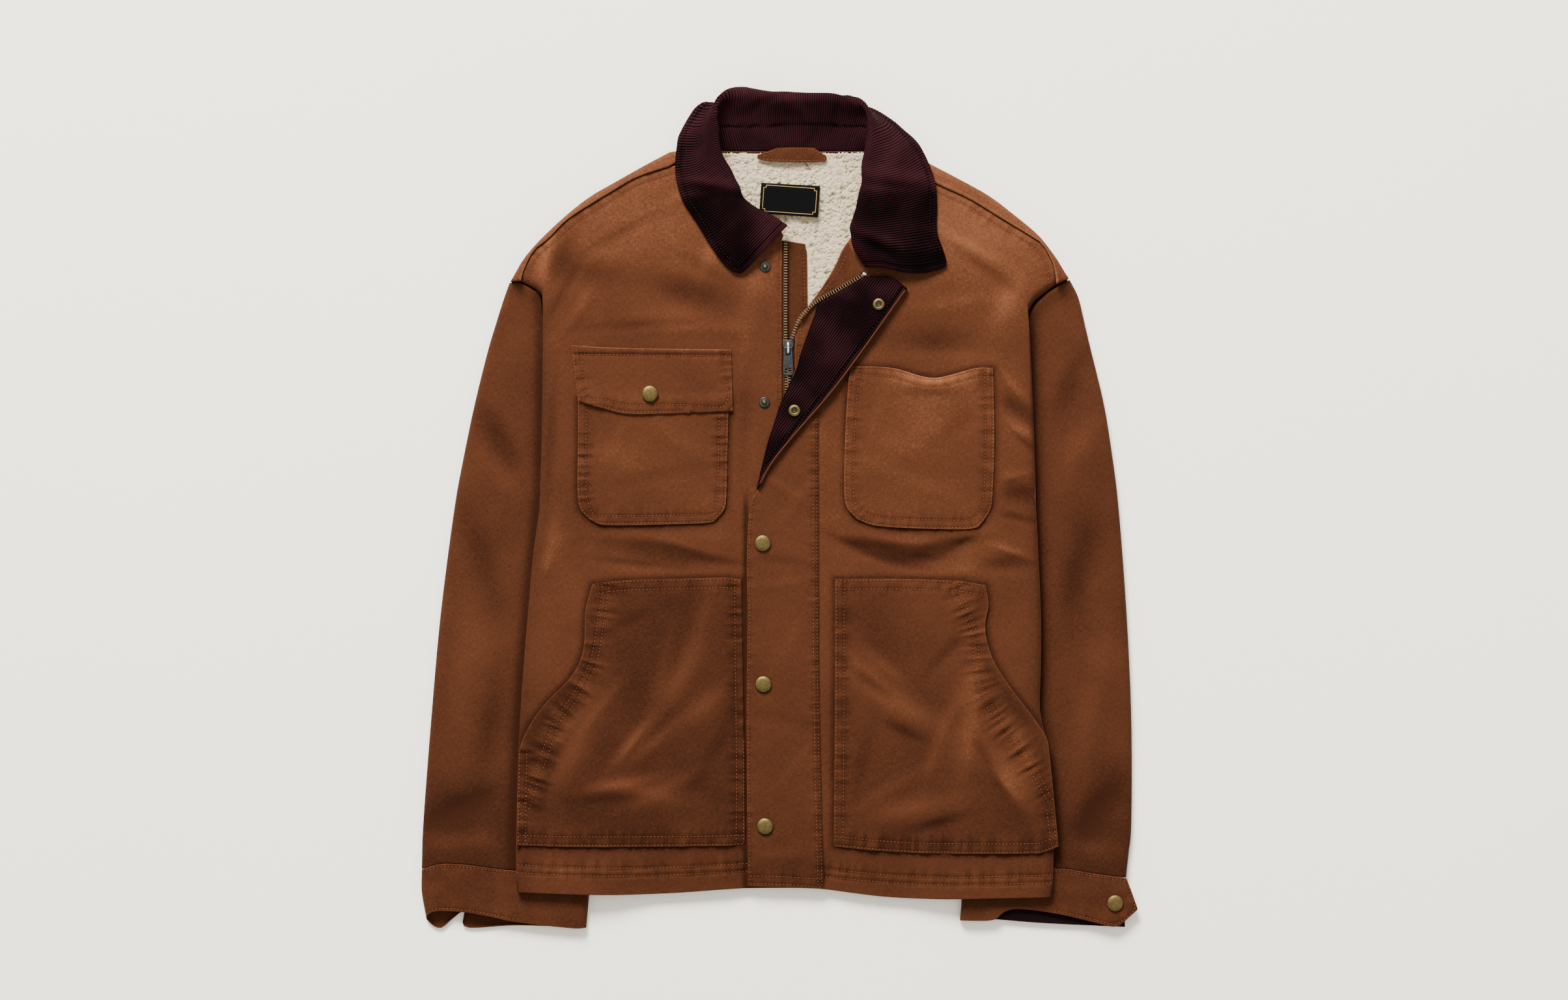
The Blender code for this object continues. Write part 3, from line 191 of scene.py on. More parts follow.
def nearLine(x, y, line):
    # distance to a line, and how far along it the nearest place is
    best = np.full(x.shape, 1e6)
    run = np.zeros(x.shape)
    travelled = 0.0
    for (startX, startY), (endX, endY) in zip(line, line[1:]):
        stepX, stepY = endX - startX, endY - startY
        length = math.hypot(stepX, stepY)
        t = np.clip(((x - startX) * stepX + (y - startY) * stepY) / length**2, 0, 1)
        gap = np.hypot(x - startX - t * stepX, y - startY - t * stepY)
        closer = gap < best
        best = np.where(closer, gap, best)
        run = np.where(closer, travelled + t * length, run)
        travelled += length
    return best, run


def smoothLine(points, step=7.0):
    rough = np.array(points, float)
    length = np.linalg.norm(np.diff(rough, axis=0), axis=1).sum()
    return alongLine(points, np.linspace(0, 1, max(2, int(length / step) + 1)))


rowLook = {"pucker": 0.35, "reach": 7.0, "pitch": 7.0, "groove": 0.5, "grooveWidth": 1.1, "swing": 1.5,
           "rubbedAndPaintedLight": 0.13, "shaded": 0.34}


def sewnRelief(x, y, rows):
    # what rows of stitching do to the cloth: a groove and puckers across it; in the tone the puckers are rubbed and
    # painted lighter on top and darker between, and the groove gets painted shade
    height = np.zeros_like(x)
    wear = np.zeros_like(x)
    for number, row in enumerate(rows):
        line = smoothLine(row["line"])
        pucker, reach = row.get("pucker", rowLook["pucker"]), row.get("reach", rowLook["reach"])
        low, high = line.min(0) - 3 * reach, line.max(0) + 3 * reach
        near = (x > low[0]) & (x < high[0]) & (y > low[1]) & (y < high[1])
        if not near.any():
            continue
        gap, run = nearLine(x[near], y[near], line)
        seed = 11 + 7 * number + int(abs(line[0, 0]) + abs(line[0, 1]))
        swing = (softNoise(run, 0 * run, rowLook["pitch"] * 0.5, seed)
                 + 0.6 * softNoise(run, 0 * run, rowLook["pitch"] * 1.3, seed + 1))
        groove = bell(gap, rowLook["grooveWidth"])
        ripple = swing * bell(gap, reach)
        height[near] += rowLook["swing"] * pucker * ripple - row.get("groove", rowLook["groove"]) * groove
        # painted light on the puckers with their rubbing, painted shade in the groove
        wear[near] += rowLook["rubbedAndPaintedLight"] * ripple * pucker / rowLook["pucker"] - rowLook["shaded"] * groove
    return height, wear


def lightFalloff(y):
    # painted light falloff: lighter at the shoulders and darker towards the hem, as the light falls from the top
    return 0.10 * smoothStep(y, 60, 180) + 0.50 * smoothStep(y, 180, 275) - 0.14 * smoothStep(-y, 40, 330)


def toWorld(points):
    return (np.asarray(points, float) + [shiftX, shiftY, 0]) * mm


def withHeight(plan, height):
    return np.concatenate([plan, np.asarray(height)[..., None]], axis=2)


def settle(piece, body, replaced=()):
    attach(piece, body)
    if replaced:
        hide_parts(*replaced)
    return piece


def bmeshPiece(name, bm, finish, smooth=True):
    mesh = bpy.data.meshes.new(name)
    bm.to_mesh(mesh)
    bm.free()
    if smooth:
        mesh.shade_smooth()
    mesh.materials.append(finish)
    piece = bpy.data.objects.new(name, mesh)
    bpy.context.scene.collection.objects.link(piece)
    return piece


def ofKind(items, kind):
    return [item for item in items if isinstance(item, kind)]


def roundEdges(bm, edges, radius, segments=3):
    bmesh.ops.bevel(bm, geom=edges, offset=radius, offset_type="OFFSET", affect="EDGES", segments=segments,
                    profile=0.5, material=-1)


def toPlace(bm):
    bmesh.ops.translate(bm, verts=bm.verts, vec=(shiftX, shiftY, 0))
    bmesh.ops.scale(bm, verts=bm.verts, vec=(mm, mm, mm))


def treeOf(piece):
    return BVHTree.FromObject(piece, bpy.context.evaluated_depsgraph_get())


def plumb(tree, x, y):
    # where a line dropped from above meets a piece, and the normal there
    return tree.ray_cast(Vector(((x + shiftX) * mm, (y + shiftY) * mm, 0.2)), Vector((0, 0, -1)))[:2]


def repeatShape(name, shape, places, finish, smooth=True):
    # one small shape, laid again at each place
    small = bpy.data.meshes.new("small_shape")
    shape.to_mesh(small)
    shape.free()
    bm = bmesh.new()
    for where in places:
        small.transform(where)
        bm.from_mesh(small)
        small.transform(where.inverted())
    piece = bmeshPiece(name, bm, finish, smooth)
    bpy.data.meshes.remove(small)
    return piece


def clothPiece(name, points, finish, wall=1.2, turnIn=9, faceDown=False, wear=None, grain=0.0, weave=None):
    # a laid panel: a grid moved onto its points, its edges folded down and in by the wall's thickness
    rows, columns = points.shape[:2]
    softRim = 0.22 * wall * rounded(rimDistance(points[..., :2]), 0.75 * wall)
    points = withHeight(points[..., :2], points[..., 2] + (softRim if faceDown else -softRim))
    world = toWorld(points).reshape(-1, 3)
    bm = bmesh.new()
    bmesh.ops.create_grid(bm, x_segments=columns - 1, y_segments=rows - 1, size=1)
    number = bm.verts.layers.int.new("number")
    for index, vert in enumerate(bm.verts):
        vert.co = world[index]
        vert[number] = index
    down = Vector((0, 0, wall * mm if faceDown else -wall * mm))
    if turnIn:
        rim = [edge for edge in bm.edges if edge.is_boundary]
        folded = bmesh.ops.extrude_edge_only(bm, edges=rim)["geom"]
        lip = ofKind(folded, bmesh.types.BMVert)
        bmesh.ops.translate(bm, verts=lip, vec=down)
        edges = [edge for edge in ofKind(folded, bmesh.types.BMEdge) if edge.is_boundary]
        inner = bmesh.ops.extrude_edge_only(bm, edges=edges)["geom"]
        for vert in ofKind(inner, bmesh.types.BMVert):
            row, column = divmod(vert[number], columns)
            row = min(max(row, turnIn), rows - 1 - turnIn)
            column = min(max(column, turnIn), columns - 1 - turnIn)
            target = world[row * columns + column]
            vert.co.x, vert.co.y = target[0], target[1]
        for vert in bm.verts:
            vert.co.z = max(vert.co.z, 0.15 * mm)
    if faceDown:
        bmesh.ops.reverse_faces(bm, faces=bm.faces)
    source = np.array([vert[number] for vert in bm.verts])
    piece = bmeshPiece(name, bm, finish)
    mesh = piece.data
    if wear is None:
        wear = np.zeros(points.shape[:2])
    # the wear-and-shade value per point: rubbed wear together with painted shade and painted highlight
    mesh.attributes.new("wear", "FLOAT", "POINT").data.foreach_set("value", wear.reshape(-1)[source])
    angle = math.radians(grain)
    flatX, flatY = points[..., 0].reshape(-1) * mm, points[..., 1].reshape(-1) * mm
    turned = np.column_stack([flatX * math.cos(angle) + flatY * math.sin(angle),
                              flatY * math.cos(angle) - flatX * math.sin(angle)])
    if weave is not None:
        turned = weave.reshape(-1, 2) * mm
    corners = np.zeros(len(mesh.loops), int)
    mesh.loops.foreach_get("vertex_index", corners)
    uvMap = mesh.uv_layers.new(name="cut")
    uvMap.data.foreach_set("uv", turned[source][corners].reshape(-1))
    return piece


# ---- outlines, x and y along each edge

rightSide = [(-249, -364), (-250, -350), (-249.7, -300), (-247.6, -223), (-243, -150), (-234.6, -50),
              (-228, 0), (-225.5, 100), (-225, 177), (-225.5, 204)]
rightTip = [(-225.5, 204), (-232, 210), (-245, 217)]
rightSeam = [(-245, 217), (-242, 228), (-233, 246), (-220, 256), (-211, 265.5), (-200, 276), (-179, 289.5),
              (-160, 301), (-135, 315.5), (-100, 327), (-62, 342)]
rightNeck = [(2.5, 256.5), (3, 263), (-14, 276), (-30, 286), (-42, 300), (-50, 318), (-58, 333), (-62, 342)]
rightHem = [(-249, -364), (-200, -366), (-150, -367), (-100, -365.5), (-50, -362), (2.5, -359.5)]
leftSide = [(259, -368), (260.5, -350), (261, -300), (258, -250), (253, -215), (248, -190), (249, -150),
             (249, -100), (247, -50), (244.5, 0), (243.5, 50), (242, 100), (239, 160), (236.5, 188)]
leftTip = [(236.5, 188), (243, 198.5), (252, 206), (263, 214)]
leftSeam = [(263, 214), (261, 230), (257.7, 238.5), (250, 252), (240, 259), (220, 271), (200, 283), (180, 295),
             (150, 309), (118, 325), (90, 338)]
leftNeck = [(66, 256), (76, 270), (82, 290), (87, 310), (89.5, 325), (90, 338)]
leftEdgeLine = [(15, 160), (17, 178), (27.5, 193), (37, 206), (45, 218), (52.6, 231), (60, 247), (66, 256)]
leftHem = [(15, -360), (42.5, -362), (100, -369), (150, -371), (200, -370), (250, -369), (259, -368)]
shoulderRight = [(-256, 217), (-250, 228), (-242, 241), (-225, 260), (-200, 283), (-179, 299), (-160, 310),
                  (-130, 327), (-100, 343)]
shoulderLeft = [(120, 343), (141, 331), (169.5, 316), (200, 299), (222, 282.5), (240, 268), (250, 258.5),
                 (264, 240), (270, 230), (276, 220)]
armholeRight = [(-256, 217), (-243, 190), (-222, 130), (-196, 80), (-168, 52)]
armholeLeft = [(276, 220), (262, 190), (238, 130), (208, 80), (178, 52)]

# Sleeve: top half's upper edge, outer edge, hidden inner edge and cuff seam, and the body's side over it
sleeves = {
    "right": dict(
        head=[(-257, 216), (-246, 215.3), (-233, 208.4), (-226.8, 200), (-221, 130), (-210, 88), (-186, 36)],
        outer=[(-257, 216), (-263, 200), (-270.5, 176), (-278, 151), (-290.6, 100), (-301, 50), (-310, 0),
               (-323, -100), (-332, -200), (-339.6, -300), (-341, -343)],
        inner=[(-186, 36), (-175, -10), (-167, -100), (-170, -200), (-176, -300), (-179, -348)],
        seam=[(-341, -343), (-324, -337.5), (-300, -338), (-250, -344), (-179, -348)]),
    "left": dict(
        head=[(277, 219), (264.5, 211.8), (253, 203.8), (238.5, 184), (233, 130), (223, 88), (196, 36)],
        outer=[(277, 219), (285.6, 202), (292, 175), (298, 150), (310, 100), (318, 50), (324, 0),
               (331.5, -100), (336, -200), (336, -300), (333, -330), (331, -351)],
        inner=[(196, 36), (183, -10), (174, -100), (172, -200), (170, -300), (170, -341)],
        seam=[(331, -351), (300, -346.5), (273, -342), (262, -342), (170, -341)]),
}

# Cuffs: outer end, lower edge of the upper layer, lower edge of the under layer, inner end
cuffs = {
    "right": dict(
        end=[(-341, -343), (-341, -365), (-336.5, -388)],
        edge=[(-336.5, -388), (-330, -383.5), (-318.6, -382.7), (-298.7, -384), (-275.6, -388), (-250, -393.4),
              (-200, -399), (-184, -399)],
        under=[(-336.5, -391), (-330, -397.5), (-322, -399.3), (-312, -391), (-303, -384), (-299.4, -385),
               (-298.6, -398.8), (-250, -397), (-184, -399)],
        inner=[(-179, -348), (-181, -365), (-184, -399)]),
    "left": dict(
        end=[(331, -351), (334, -359), (342, -381)],
        edge=[(324.5, -396.7), (316.5, -397.5), (300, -393.4), (273, -387), (250, -383), (226, -380.7),
              (214, -384), (203, -391.5), (172.5, -392)],
        under=[(329, -388), (300, -389), (250, -390), (172.5, -391)],
        inner=[(170, -341), (174, -371), (172.5, -392)]),
}
tabCorner = [(342, -381), (324.5, -396.7)]
knitEdge = [(206, -391), (250, -394.5), (300, -397), (330, -398.3)]

# Collar from its right end round the neck to its left end: neck seam, roll line, outer edge
# (x, y, z each), outward direction in degrees, lean (0 folded over the front, 1 laid back behind the neck)
collarStations = [
    (-2, 264.5, 18, 8, 270, 24, -37, 222, 21, 230, 0.0),
    (-15, 275, 18, -10, 281, 25, -50, 231, 21, 228, 0.0),
    (-24, 284, 18, -29, 292, 26, -64, 249, 21, 220, 0.0),
    (-37, 300, 18, -38, 308, 27, -78, 272, 21, 212, 0.0),
    (-48, 318, 18, -46, 325, 28, -92, 294, 21, 200, 0.0),
    (-57, 336, 17, -54, 341, 29, -98.6, 318, 21, 188, 0.0),
    (-60, 342, 14, -56, 357, 29, -98, 341, 19, 178, 0.1),
    (-58, 342, 11, -58, 376, 28, -94, 360, 13, 150, 0.2),
    (-52, 341.8, 9.5, -54, 391, 27, -74, 388, 10, 128, 0.35),
    (-38, 341.6, 9, -41, 401, 24, -50, 380, 2.5, 104, 0.95),
    (-12, 341.6, 9, -12, 397.5, 24, -14, 356, 1.6, 91, 1.0),
    (16, 341.6, 9, 18, 396.6, 24, 18, 354, 1.6, 90, 1.0),
    (46, 341.6, 9, 50, 396.3, 24, 50, 356, 1.6, 88, 1.0),
    (68, 341.8, 9, 73, 391, 25, 78, 384, 4, 70, 0.8),
    (82, 342, 10, 81, 382, 28, 103, 375, 9, 50, 0.35),
    (90, 342, 13, 84, 366, 29, 122, 359, 13, 30, 0.12),
    (93, 338, 17, 82.5, 347, 29, 132, 349, 19, 12, 0.05),
    (91, 322, 19, 79, 328, 29, 142, 330, 21, 2, 0.0),
    (88, 306, 19, 76.5, 306, 28, 149, 308, 21, 0, 0.0),
    (84, 290, 19, 72, 287, 27, 150, 284, 21, -4, 0.0),
    (79, 274, 19, 67, 268, 26, 150, 264, 21, -6, 0.0),
    (81, 258, 19, 70, 249, 25, 156, 247, 21, -6, 0.0),
    (90, 245, 20, 82, 230, 24, 161, 231, 21, -4, 0.0),
]

# Storm flap: free edge, fold line of the turned part, and its free edge
flapEdge = [(-29.6, -358.5), (-31, -200), (-30, -100), (-30.7, -50), (-29, -10), (-26, 8), (-18.5, 24), (-9, 60),
             (4.5, 101), (14, 130), (23, 151), (31, 169)]
flapSeam = [(42.5, -361.5), (38.5, -172), (37.7, 87), (38, 169)]
turnLine = [(-21.5, 20), (-12, 60), (-5.5, 80), (1, 100), (9, 118), (15.8, 133), (21, 150), (28, 170), (33, 183),
             (38.5, 197.5), (54, 205), (69, 214), (81, 222)]
turnedFree = [(-18.8, 21), (-6.5, 43.6), (15, 70.5), (50, 111), (80, 151), (107, 189), (122, 210)]
turnedTop = [(81, 222), (92, 221.5), (101, 222), (110, 219), (122, 210)]

# Folds: middle x, y, direction in degrees, half length, half width, rise
rightFrontFolds = [
    (-222, 232, 82, 30, 9, 2.2), (-205, 238, 70, 26, 12, -2.4), (-175, 222, -8, 32, 13, -1.8),
    (-85, 205, -16, 38, 14, -2.4), (-95, 178, -6, 50, 14, 1.4), (-30, 190, 78, 40, 14, 1.2),
    (-110, -43, -9, 55, 12, -2.4), (-120, -24, -4, 60, 10, 1.0), (-210, -30, 70, 30, 10, 1.2),
    (-212, -118, 4, 22, 10, -2.4), (-215, -92, 8, 24, 12, 1.4), (-38, 60, 84, 60, 9, -1.2)]
leftFrontFolds = [
    (95, -38, -16, 42, 9, -2.8), (160, -36, 17, 42, 9, -2.8), (120, -20, 0, 55, 10, 1.6),
    (180, -58, 12, 45, 9, 1.2), (212, -53, 4, 26, 8, -2.4), (226, 94, -38, 24, 8, -2.2),
    (232, 74, -30, 20, 8, 1.6), (228, 14, -6, 20, 9, -2.2), (150, 158, -4, 46, 14, -1.8),
    (215, 190, 60, 34, 12, 1.4), (228, -112, 10, 20, 10, -2.2), (60, 60, 86, 60, 9, -1.0)]
rightPocketFolds = [
    (-128, -225, 42, 30, 10, 3.0), (-196, -235, 62, 40, 14, 2.6), (-130, -272, -8, 42, 11, 2.4),
    (-92, -160, 60, 40, 13, 2.4), (-72, -190, 40, 34, 12, 2.0)]
leftPocketFolds = [
    (72, -150, -30, 32, 12, 2.4), (122, -192, -30, 42, 12, 2.6), (182, -210, 82, 46, 11, 2.2),
    (222, -258, -52, 34, 12, 3.0), (130, -286, 10, 40, 12, 2.2)]
sleeveFolds = [
    (-262, 60, -55, 34, 11, -2.6), (-255, 20, -48, 30, 11, 1.4), (-285, -40, -70, 46, 14, -2.0),
    (-300, -150, 82, 60, 16, 1.6), (-272, -210, 76, 50, 14, -2.2), (-300, -282, 22, 42, 12, -2.4),
    (-296, -318, 4, 44, 10, 1.8), (272, 110, 62, 34, 12, -2.4), (286, 60, 55, 36, 12, 1.4),
    (284, -60, 74, 50, 14, -2.2), (296, -190, 82, 60, 15, 1.8), (300, -290, 56, 44, 13, -2.6),
    (284, -322, -10, 34, 10, 1.6)]

# Pockets: lower edge, upper edge (left to right), left and right edges (upwards)
pockets = {
    "chest_pocket_right": dict(
        lower=[(-181, -9), (-170, -14), (-150, -15), (-100, -14), (-66, -12.4), (-58, -8)],
        upper=[(-191, 104), (-150, 103), (-100, 103), (-48, 104)],
        left=[(-181, -9), (-189, 1), (-191.5, 20), (-191, 60), (-191, 104)],
        right=[(-58, -8), (-51.5, 2), (-50, 20), (-49, 60), (-48, 104)],
        folds=[(-150, 50, -20, 40, 20, 1.0)], front="front_right"),
    "chest_pocket_left": dict(
        lower=[(74, -9), (88, -14.5), (110, -17), (150, -18.5), (184, -18), (194, -11)],
        upper=[(68.5, 136.5), (106.6, 134.6), (133.5, 127), (147, 125), (160, 127), (187, 134.2), (203.2, 134.4)],
        left=[(74, -9), (64.5, 2), (62, 20), (63, 70), (66, 122), (68.5, 136.5)],
        right=[(194, -11), (201, 1), (203, 20), (204.4, 70), (203.2, 134.4)],
        folds=[(147, 118, 0, 34, 16, 3.2), (120, 60, 20, 40, 20, 1.0)], front="front_left"),
    "lower_pocket_right": dict(
        lower=[(-249.4, -319), (-200, -320.6), (-150, -320.8), (-50, -319.7), (-32.6, -317.6)],
        upper=[(-177.6, -71), (-150, -67.6), (-100, -66), (-50, -64.9), (-36, -66.7)],
        left=[(-249.4, -319), (-248, -250), (-246, -226), (-235, -202), (-219, -181), (-200, -162), (-189.5, -145),
              (-185, -126), (-184, -97), (-177.6, -71)],
        right=[(-32.6, -317.6), (-34, -200), (-36, -66.7)],
        folds=rightPocketFolds, front="front_right"),
    "lower_pocket_left": dict(
        lower=[(52, -320.5), (101, -325), (150, -327), (235, -327), (252, -325.5), (265.5, -320)],
        upper=[(53.3, -66.4), (100, -66), (150, -67), (175, -68.5), (196, -72)],
        left=[(52, -320.5), (53, -200), (53.3, -66.4)],
        right=[(265.5, -320), (261.6, -279), (257, -234), (254, -217), (244, -201), (230, -182.5), (214, -161),
               (203, -142), (197, -123), (196, -107), (199, -91), (196, -72)],
        folds=leftPocketFolds, front="front_left"),
}

# finer creases that only show in the cloth: middle x, y, direction in degrees, half length, half width, rise
rightCreases = [
    (-205, 205, 62, 34, 5, -1.3), (-190, 190, 55, 30, 6, 1.0), (-150, 262, 28, 40, 5, -0.9),
    (-60, 255, 70, 44, 7, 1.1), (-75, 230, -30, 34, 6, -0.9), (-120, 175, 4, 60, 5, -0.8),
    (-140, -52, -6, 34, 4, -1.2), (-85, -36, -14, 30, 4, 1.0), (-60, -50, -8, 26, 4, -1.0),
    (-222, -60, 80, 30, 5, 1.1), (-216, 60, 86, 60, 6, -1.0), (-236, -160, 70, 24, 4, 1.2),
    (-20, -120, 88, 80, 5, -0.5), (-40, 120, 80, 40, 6, 0.6), (-200, -345, 2, 40, 5, 0.5),
    (-90, 300, 35, 30, 6, 0.9)]
leftCreases = [
    (75, -37, -24, 22, 4, -1.3), (110, -50, -14, 26, 4, -1.2), (143, -47, 2, 22, 4, -1.0),
    (176, -31, 30, 22, 4, -1.3), (130, -32, -4, 44, 6, 1.0), (220, -40, -20, 24, 4, 1.2),
    (236, 60, -40, 20, 4, -1.2), (222, 118, -50, 26, 5, 1.0), (214, 30, 10, 24, 4, 1.0),
    (222, -8, -12, 24, 4, -1.2), (226, -80, 6, 20, 4, 1.2), (180, 250, -28, 44, 6, 1.0),
    (200, 225, -36, 36, 5, -1.1), (120, 285, -20, 34, 6, 0.9), (165, 195, 8, 40, 7, 0.8),
    (56, -110, 86, 50, 5, -0.5)]


# ---- stage: floor, light and camera

stage = {"floorSize": 9.0, "cameraHeight": 4.0, "frameWidth": 1.4930, "middle": (0.0052, 0.0093),
         "floorColor": (0.965, 0.915, 0.80)}

camera = bpy.data.objects.new("camera", bpy.data.cameras.new("camera"))
camera.data.sensor_width = 36.0
camera.data.lens = 36.0 * stage["cameraHeight"] / stage["frameWidth"]
camera.location = (stage["middle"][0], stage["middle"][1], stage["cameraHeight"] + 0.012)
bpy.context.scene.collection.objects.link(camera)
bpy.context.scene.camera = camera


lights = {
    "key": dict(place=(-1.5, 5.4, 4.1), size=3.0, power=1880, color=(1.0, 0.97, 0.93)),
    "fill": dict(place=(1.6, -0.6, 2.8), size=2.4, power=16, color=(0.97, 0.985, 1.0)),
}


def softLight(name, place, size, power, color):
    # a round soft box aimed at the middle of the jacket
    light = bpy.data.objects.new(name, bpy.data.lights.new(name, "AREA"))
    light.data.shape = "DISK"
    light.data.size = size
    light.data.energy = power
    light.data.color = color
    light.location = place
    light.rotation_euler = (-Vector(place)).to_track_quat("-Z", "Y").to_euler()
    bpy.context.scene.collection.objects.link(light)


for name, facts in lights.items():
    softLight(name, **facts)
sky = bpy.data.worlds.new("studio")
bpy.context.scene.world = sky
sky.use_nodes = True
sky.node_tree.nodes["Background"].inputs["Color"].default_value = (1.0, 0.985, 0.96, 1)
sky.node_tree.nodes["Background"].inputs["Strength"].default_value = 1.07


# ---- finishes

def newFinish(name, color, roughness, metallic=0.0, sheen=0.0, sheenTint=(1, 1, 1), shine=0.1):
    finish = bpy.data.materials.new(name)
    finish.use_nodes = True
    shader = finish.node_tree.nodes["Principled BSDF"]
    shader.inputs["Base Color"].default_value = (*color, 1)
    shader.inputs["Roughness"].default_value = roughness
    shader.inputs["Metallic"].default_value = metallic
    shader.inputs["Sheen Weight"].default_value = sheen
    shader.inputs["Sheen Roughness"].default_value = 0.45
    shader.inputs["Sheen Tint"].default_value = (*sheenTint, 1)
    shader.inputs["Specular IOR Level"].default_value = 0.5 if metallic else shine
    return finish, finish.node_tree, shader


def addNode(tree, kind, inputs=None, **settings):
    node = tree.nodes.new(kind)
    for key, value in settings.items():
        setattr(node, key, value)
    for key, value in (inputs or {}).items():
        node.inputs[key].default_value = value
    return node


def joinNodes(tree, *pairs):
    for source, target in pairs:
        tree.links.new(source, target)


def clothCoordinates(tree, scale=(1000, 1000, 1000), turn=0.0):
    # the panel's own cut, in millimetres
    cut = addNode(tree, "ShaderNodeUVMap", uv_map="cut")
    place = addNode(tree, "ShaderNodeMapping", {"Scale": scale, "Rotation": (0, 0, math.radians(turn))})
    joinNodes(tree, (cut.outputs["UV"], place.inputs["Vector"]))
    return place.outputs["Vector"]


def objectCoordinates(tree, scale=(1000, 1000, 1000)):
    there = addNode(tree, "ShaderNodeTexCoord")
    place = addNode(tree, "ShaderNodeMapping", {"Scale": scale})
    joinNodes(tree, (there.outputs["Object"], place.inputs["Vector"]))
    return place.outputs["Vector"]


def noiseNode(tree, vector, scale, detail=3.0, roughness=0.55, distortion=0.0):
    node = addNode(tree, "ShaderNodeTexNoise",
                   {"Scale": scale, "Detail": detail, "Roughness": roughness, "Distortion": distortion})
    joinNodes(tree, (vector, node.inputs["Vector"]))
    return node.outputs["Fac"]


def waveNode(tree, vector, pitch, direction, distortion=0.0):
    # bands at a pitch in millimetres
    node = addNode(tree, "ShaderNodeTexWave",
                   {"Scale": 0.31416 / pitch, "Distortion": distortion, "Detail": 1.0, "Detail Scale": 1.5},
                   wave_type="BANDS", bands_direction=direction, wave_profile="SIN")
    joinNodes(tree, (vector, node.inputs["Vector"]))
    return node.outputs["Fac"]


def mathNode(tree, operation, first, second):
    node = addNode(tree, "ShaderNodeMath", operation=operation)
    for socket, value in zip(node.inputs, (first, second)):
        if isinstance(value, float):
            socket.default_value = value
        else:
            joinNodes(tree, (value, socket))
    return node.outputs["Value"]


def rampNode(tree, factor, stops):
    node = addNode(tree, "ShaderNodeValToRGB")
    ramp = node.color_ramp
    ramp.elements[0].position, ramp.elements[0].color = stops[0][0], (*stops[0][1], 1)
    ramp.elements[1].position, ramp.elements[1].color = stops[-1][0], (*stops[-1][1], 1)
    for place, color in stops[1:-1]:
        ramp.elements.new(place).color = (*color, 1)
    joinNodes(tree, (factor, node.inputs["Fac"]))
    return node.outputs["Color"]


def rangeNode(tree, value, low, high, start=0.0):
    node = addNode(tree, "ShaderNodeMapRange", {"From Min": start, "From Max": 1.0, "To Min": low, "To Max": high})
    joinNodes(tree, (value, node.inputs["Value"]))
    return node.outputs["Result"]


def bumpNode(tree, height, distance, strength, before=None):
    node = addNode(tree, "ShaderNodeBump", {"Distance": distance, "Strength": strength})
    joinNodes(tree, (height, node.inputs["Height"]))
    if before is not None:
        joinNodes(tree, (before, node.inputs["Normal"]))
    return node.outputs["Normal"]


def wearValue(tree):
    # reads the per-point wear-and-shade value: rubbed wear and painted light and shade
    return addNode(tree, "ShaderNodeAttribute", attribute_name="wear").outputs["Fac"]


def sumOf(tree, *parts):
    # values added up, each times its share
    total = None
    for value, share in parts:
        scaled = mathNode(tree, "MULTIPLY", value, share)
        total = scaled if total is None else mathNode(tree, "ADD", total, scaled)
    return total


def arrange(tree):
    # nodes in columns, by the number of links between each and the output
    depth = {node.name: 0 for node in tree.nodes}
    for _ in tree.nodes:
        for link in tree.links:
            behind, ahead = link.from_node.name, link.to_node.name
            depth[behind] = max(depth[behind], depth[ahead] + 1)
    filled = {}
    for node in tree.nodes:
        column = depth[node.name]
        node.location = (-260 * column, -320 * filled.get(column, 0))
        filled[column] = filled.get(column, 0) + 1


def wire(tree, shader, color, bump, rough=None):
    joinNodes(tree, (color, shader.inputs["Base Color"]), (bump, shader.inputs["Normal"]))
    if rough is not None:
        joinNodes(tree, (rough, shader.inputs["Roughness"]))
    arrange(tree)


canvasLook = {"deep": (0.0185, 0.0039, 0.0004), "mid": (0.0565, 0.0166, 0.0054), "rubbedAndPaintedLight": (0.165, 0.060, 0.026),
              "yarn": 0.62, "weaveDepth": 0.00016, "creaseDepth": 0.0011}


def makeCanvas(name, look):
    # heather yarns over and under each other, washed mottling, and the wear-and-shade value: rubbed edges, painted
    # shade in seams, folds and hollows, and painted highlight on raised places
    finish, tree, shader = newFinish(name, look["mid"], 0.9, sheen=0.02, sheenTint=(1.0, 0.7, 0.45))
    cut = clothCoordinates(tree)
    bands = [rangeNode(tree, waveNode(tree, cut, 2 * look["yarn"], direction), -1, 1) for direction in ("X", "Y")]
    weave = rangeNode(tree, mathNode(tree, "MULTIPLY", *bands), 0, 1, start=-1.0)
    warp, weft = [noiseNode(tree, clothCoordinates(tree, scale), 1.0, 2.0)
                  for scale in ((1700, 240, 1000), (240, 1700, 1000))]
    yarn = addNode(tree, "ShaderNodeMix", data_type="FLOAT")
    joinNodes(tree, (weave, yarn.inputs[0]), (warp, yarn.inputs[2]), (weft, yarn.inputs[3]))
    mottle = noiseNode(tree, cut, 0.016, 4.0, 0.6)
    fine = noiseNode(tree, cut, 0.35, 3.0, 0.6)
    shade = sumOf(tree, (yarn.outputs[0], 0.62), (mottle, 0.20), (fine, 0.22), (wearValue(tree), 0.30))
    color = rampNode(tree, shade, [(0.28, look["deep"]), (0.62, look["mid"]), (1.0, look["rubbedAndPaintedLight"])])
    crease = noiseNode(tree, cut, 0.09, 3.0, 0.55, distortion=0.4)
    grain = bumpNode(tree, weave, look["weaveDepth"], 0.55)
    bump = bumpNode(tree, crease, look["creaseDepth"], 0.5, before=grain)
    wire(tree, shader, color, bump, rangeNode(tree, shade, 0.95, 0.8))
    return finish


canvas = makeCanvas("canvas", canvasLook)


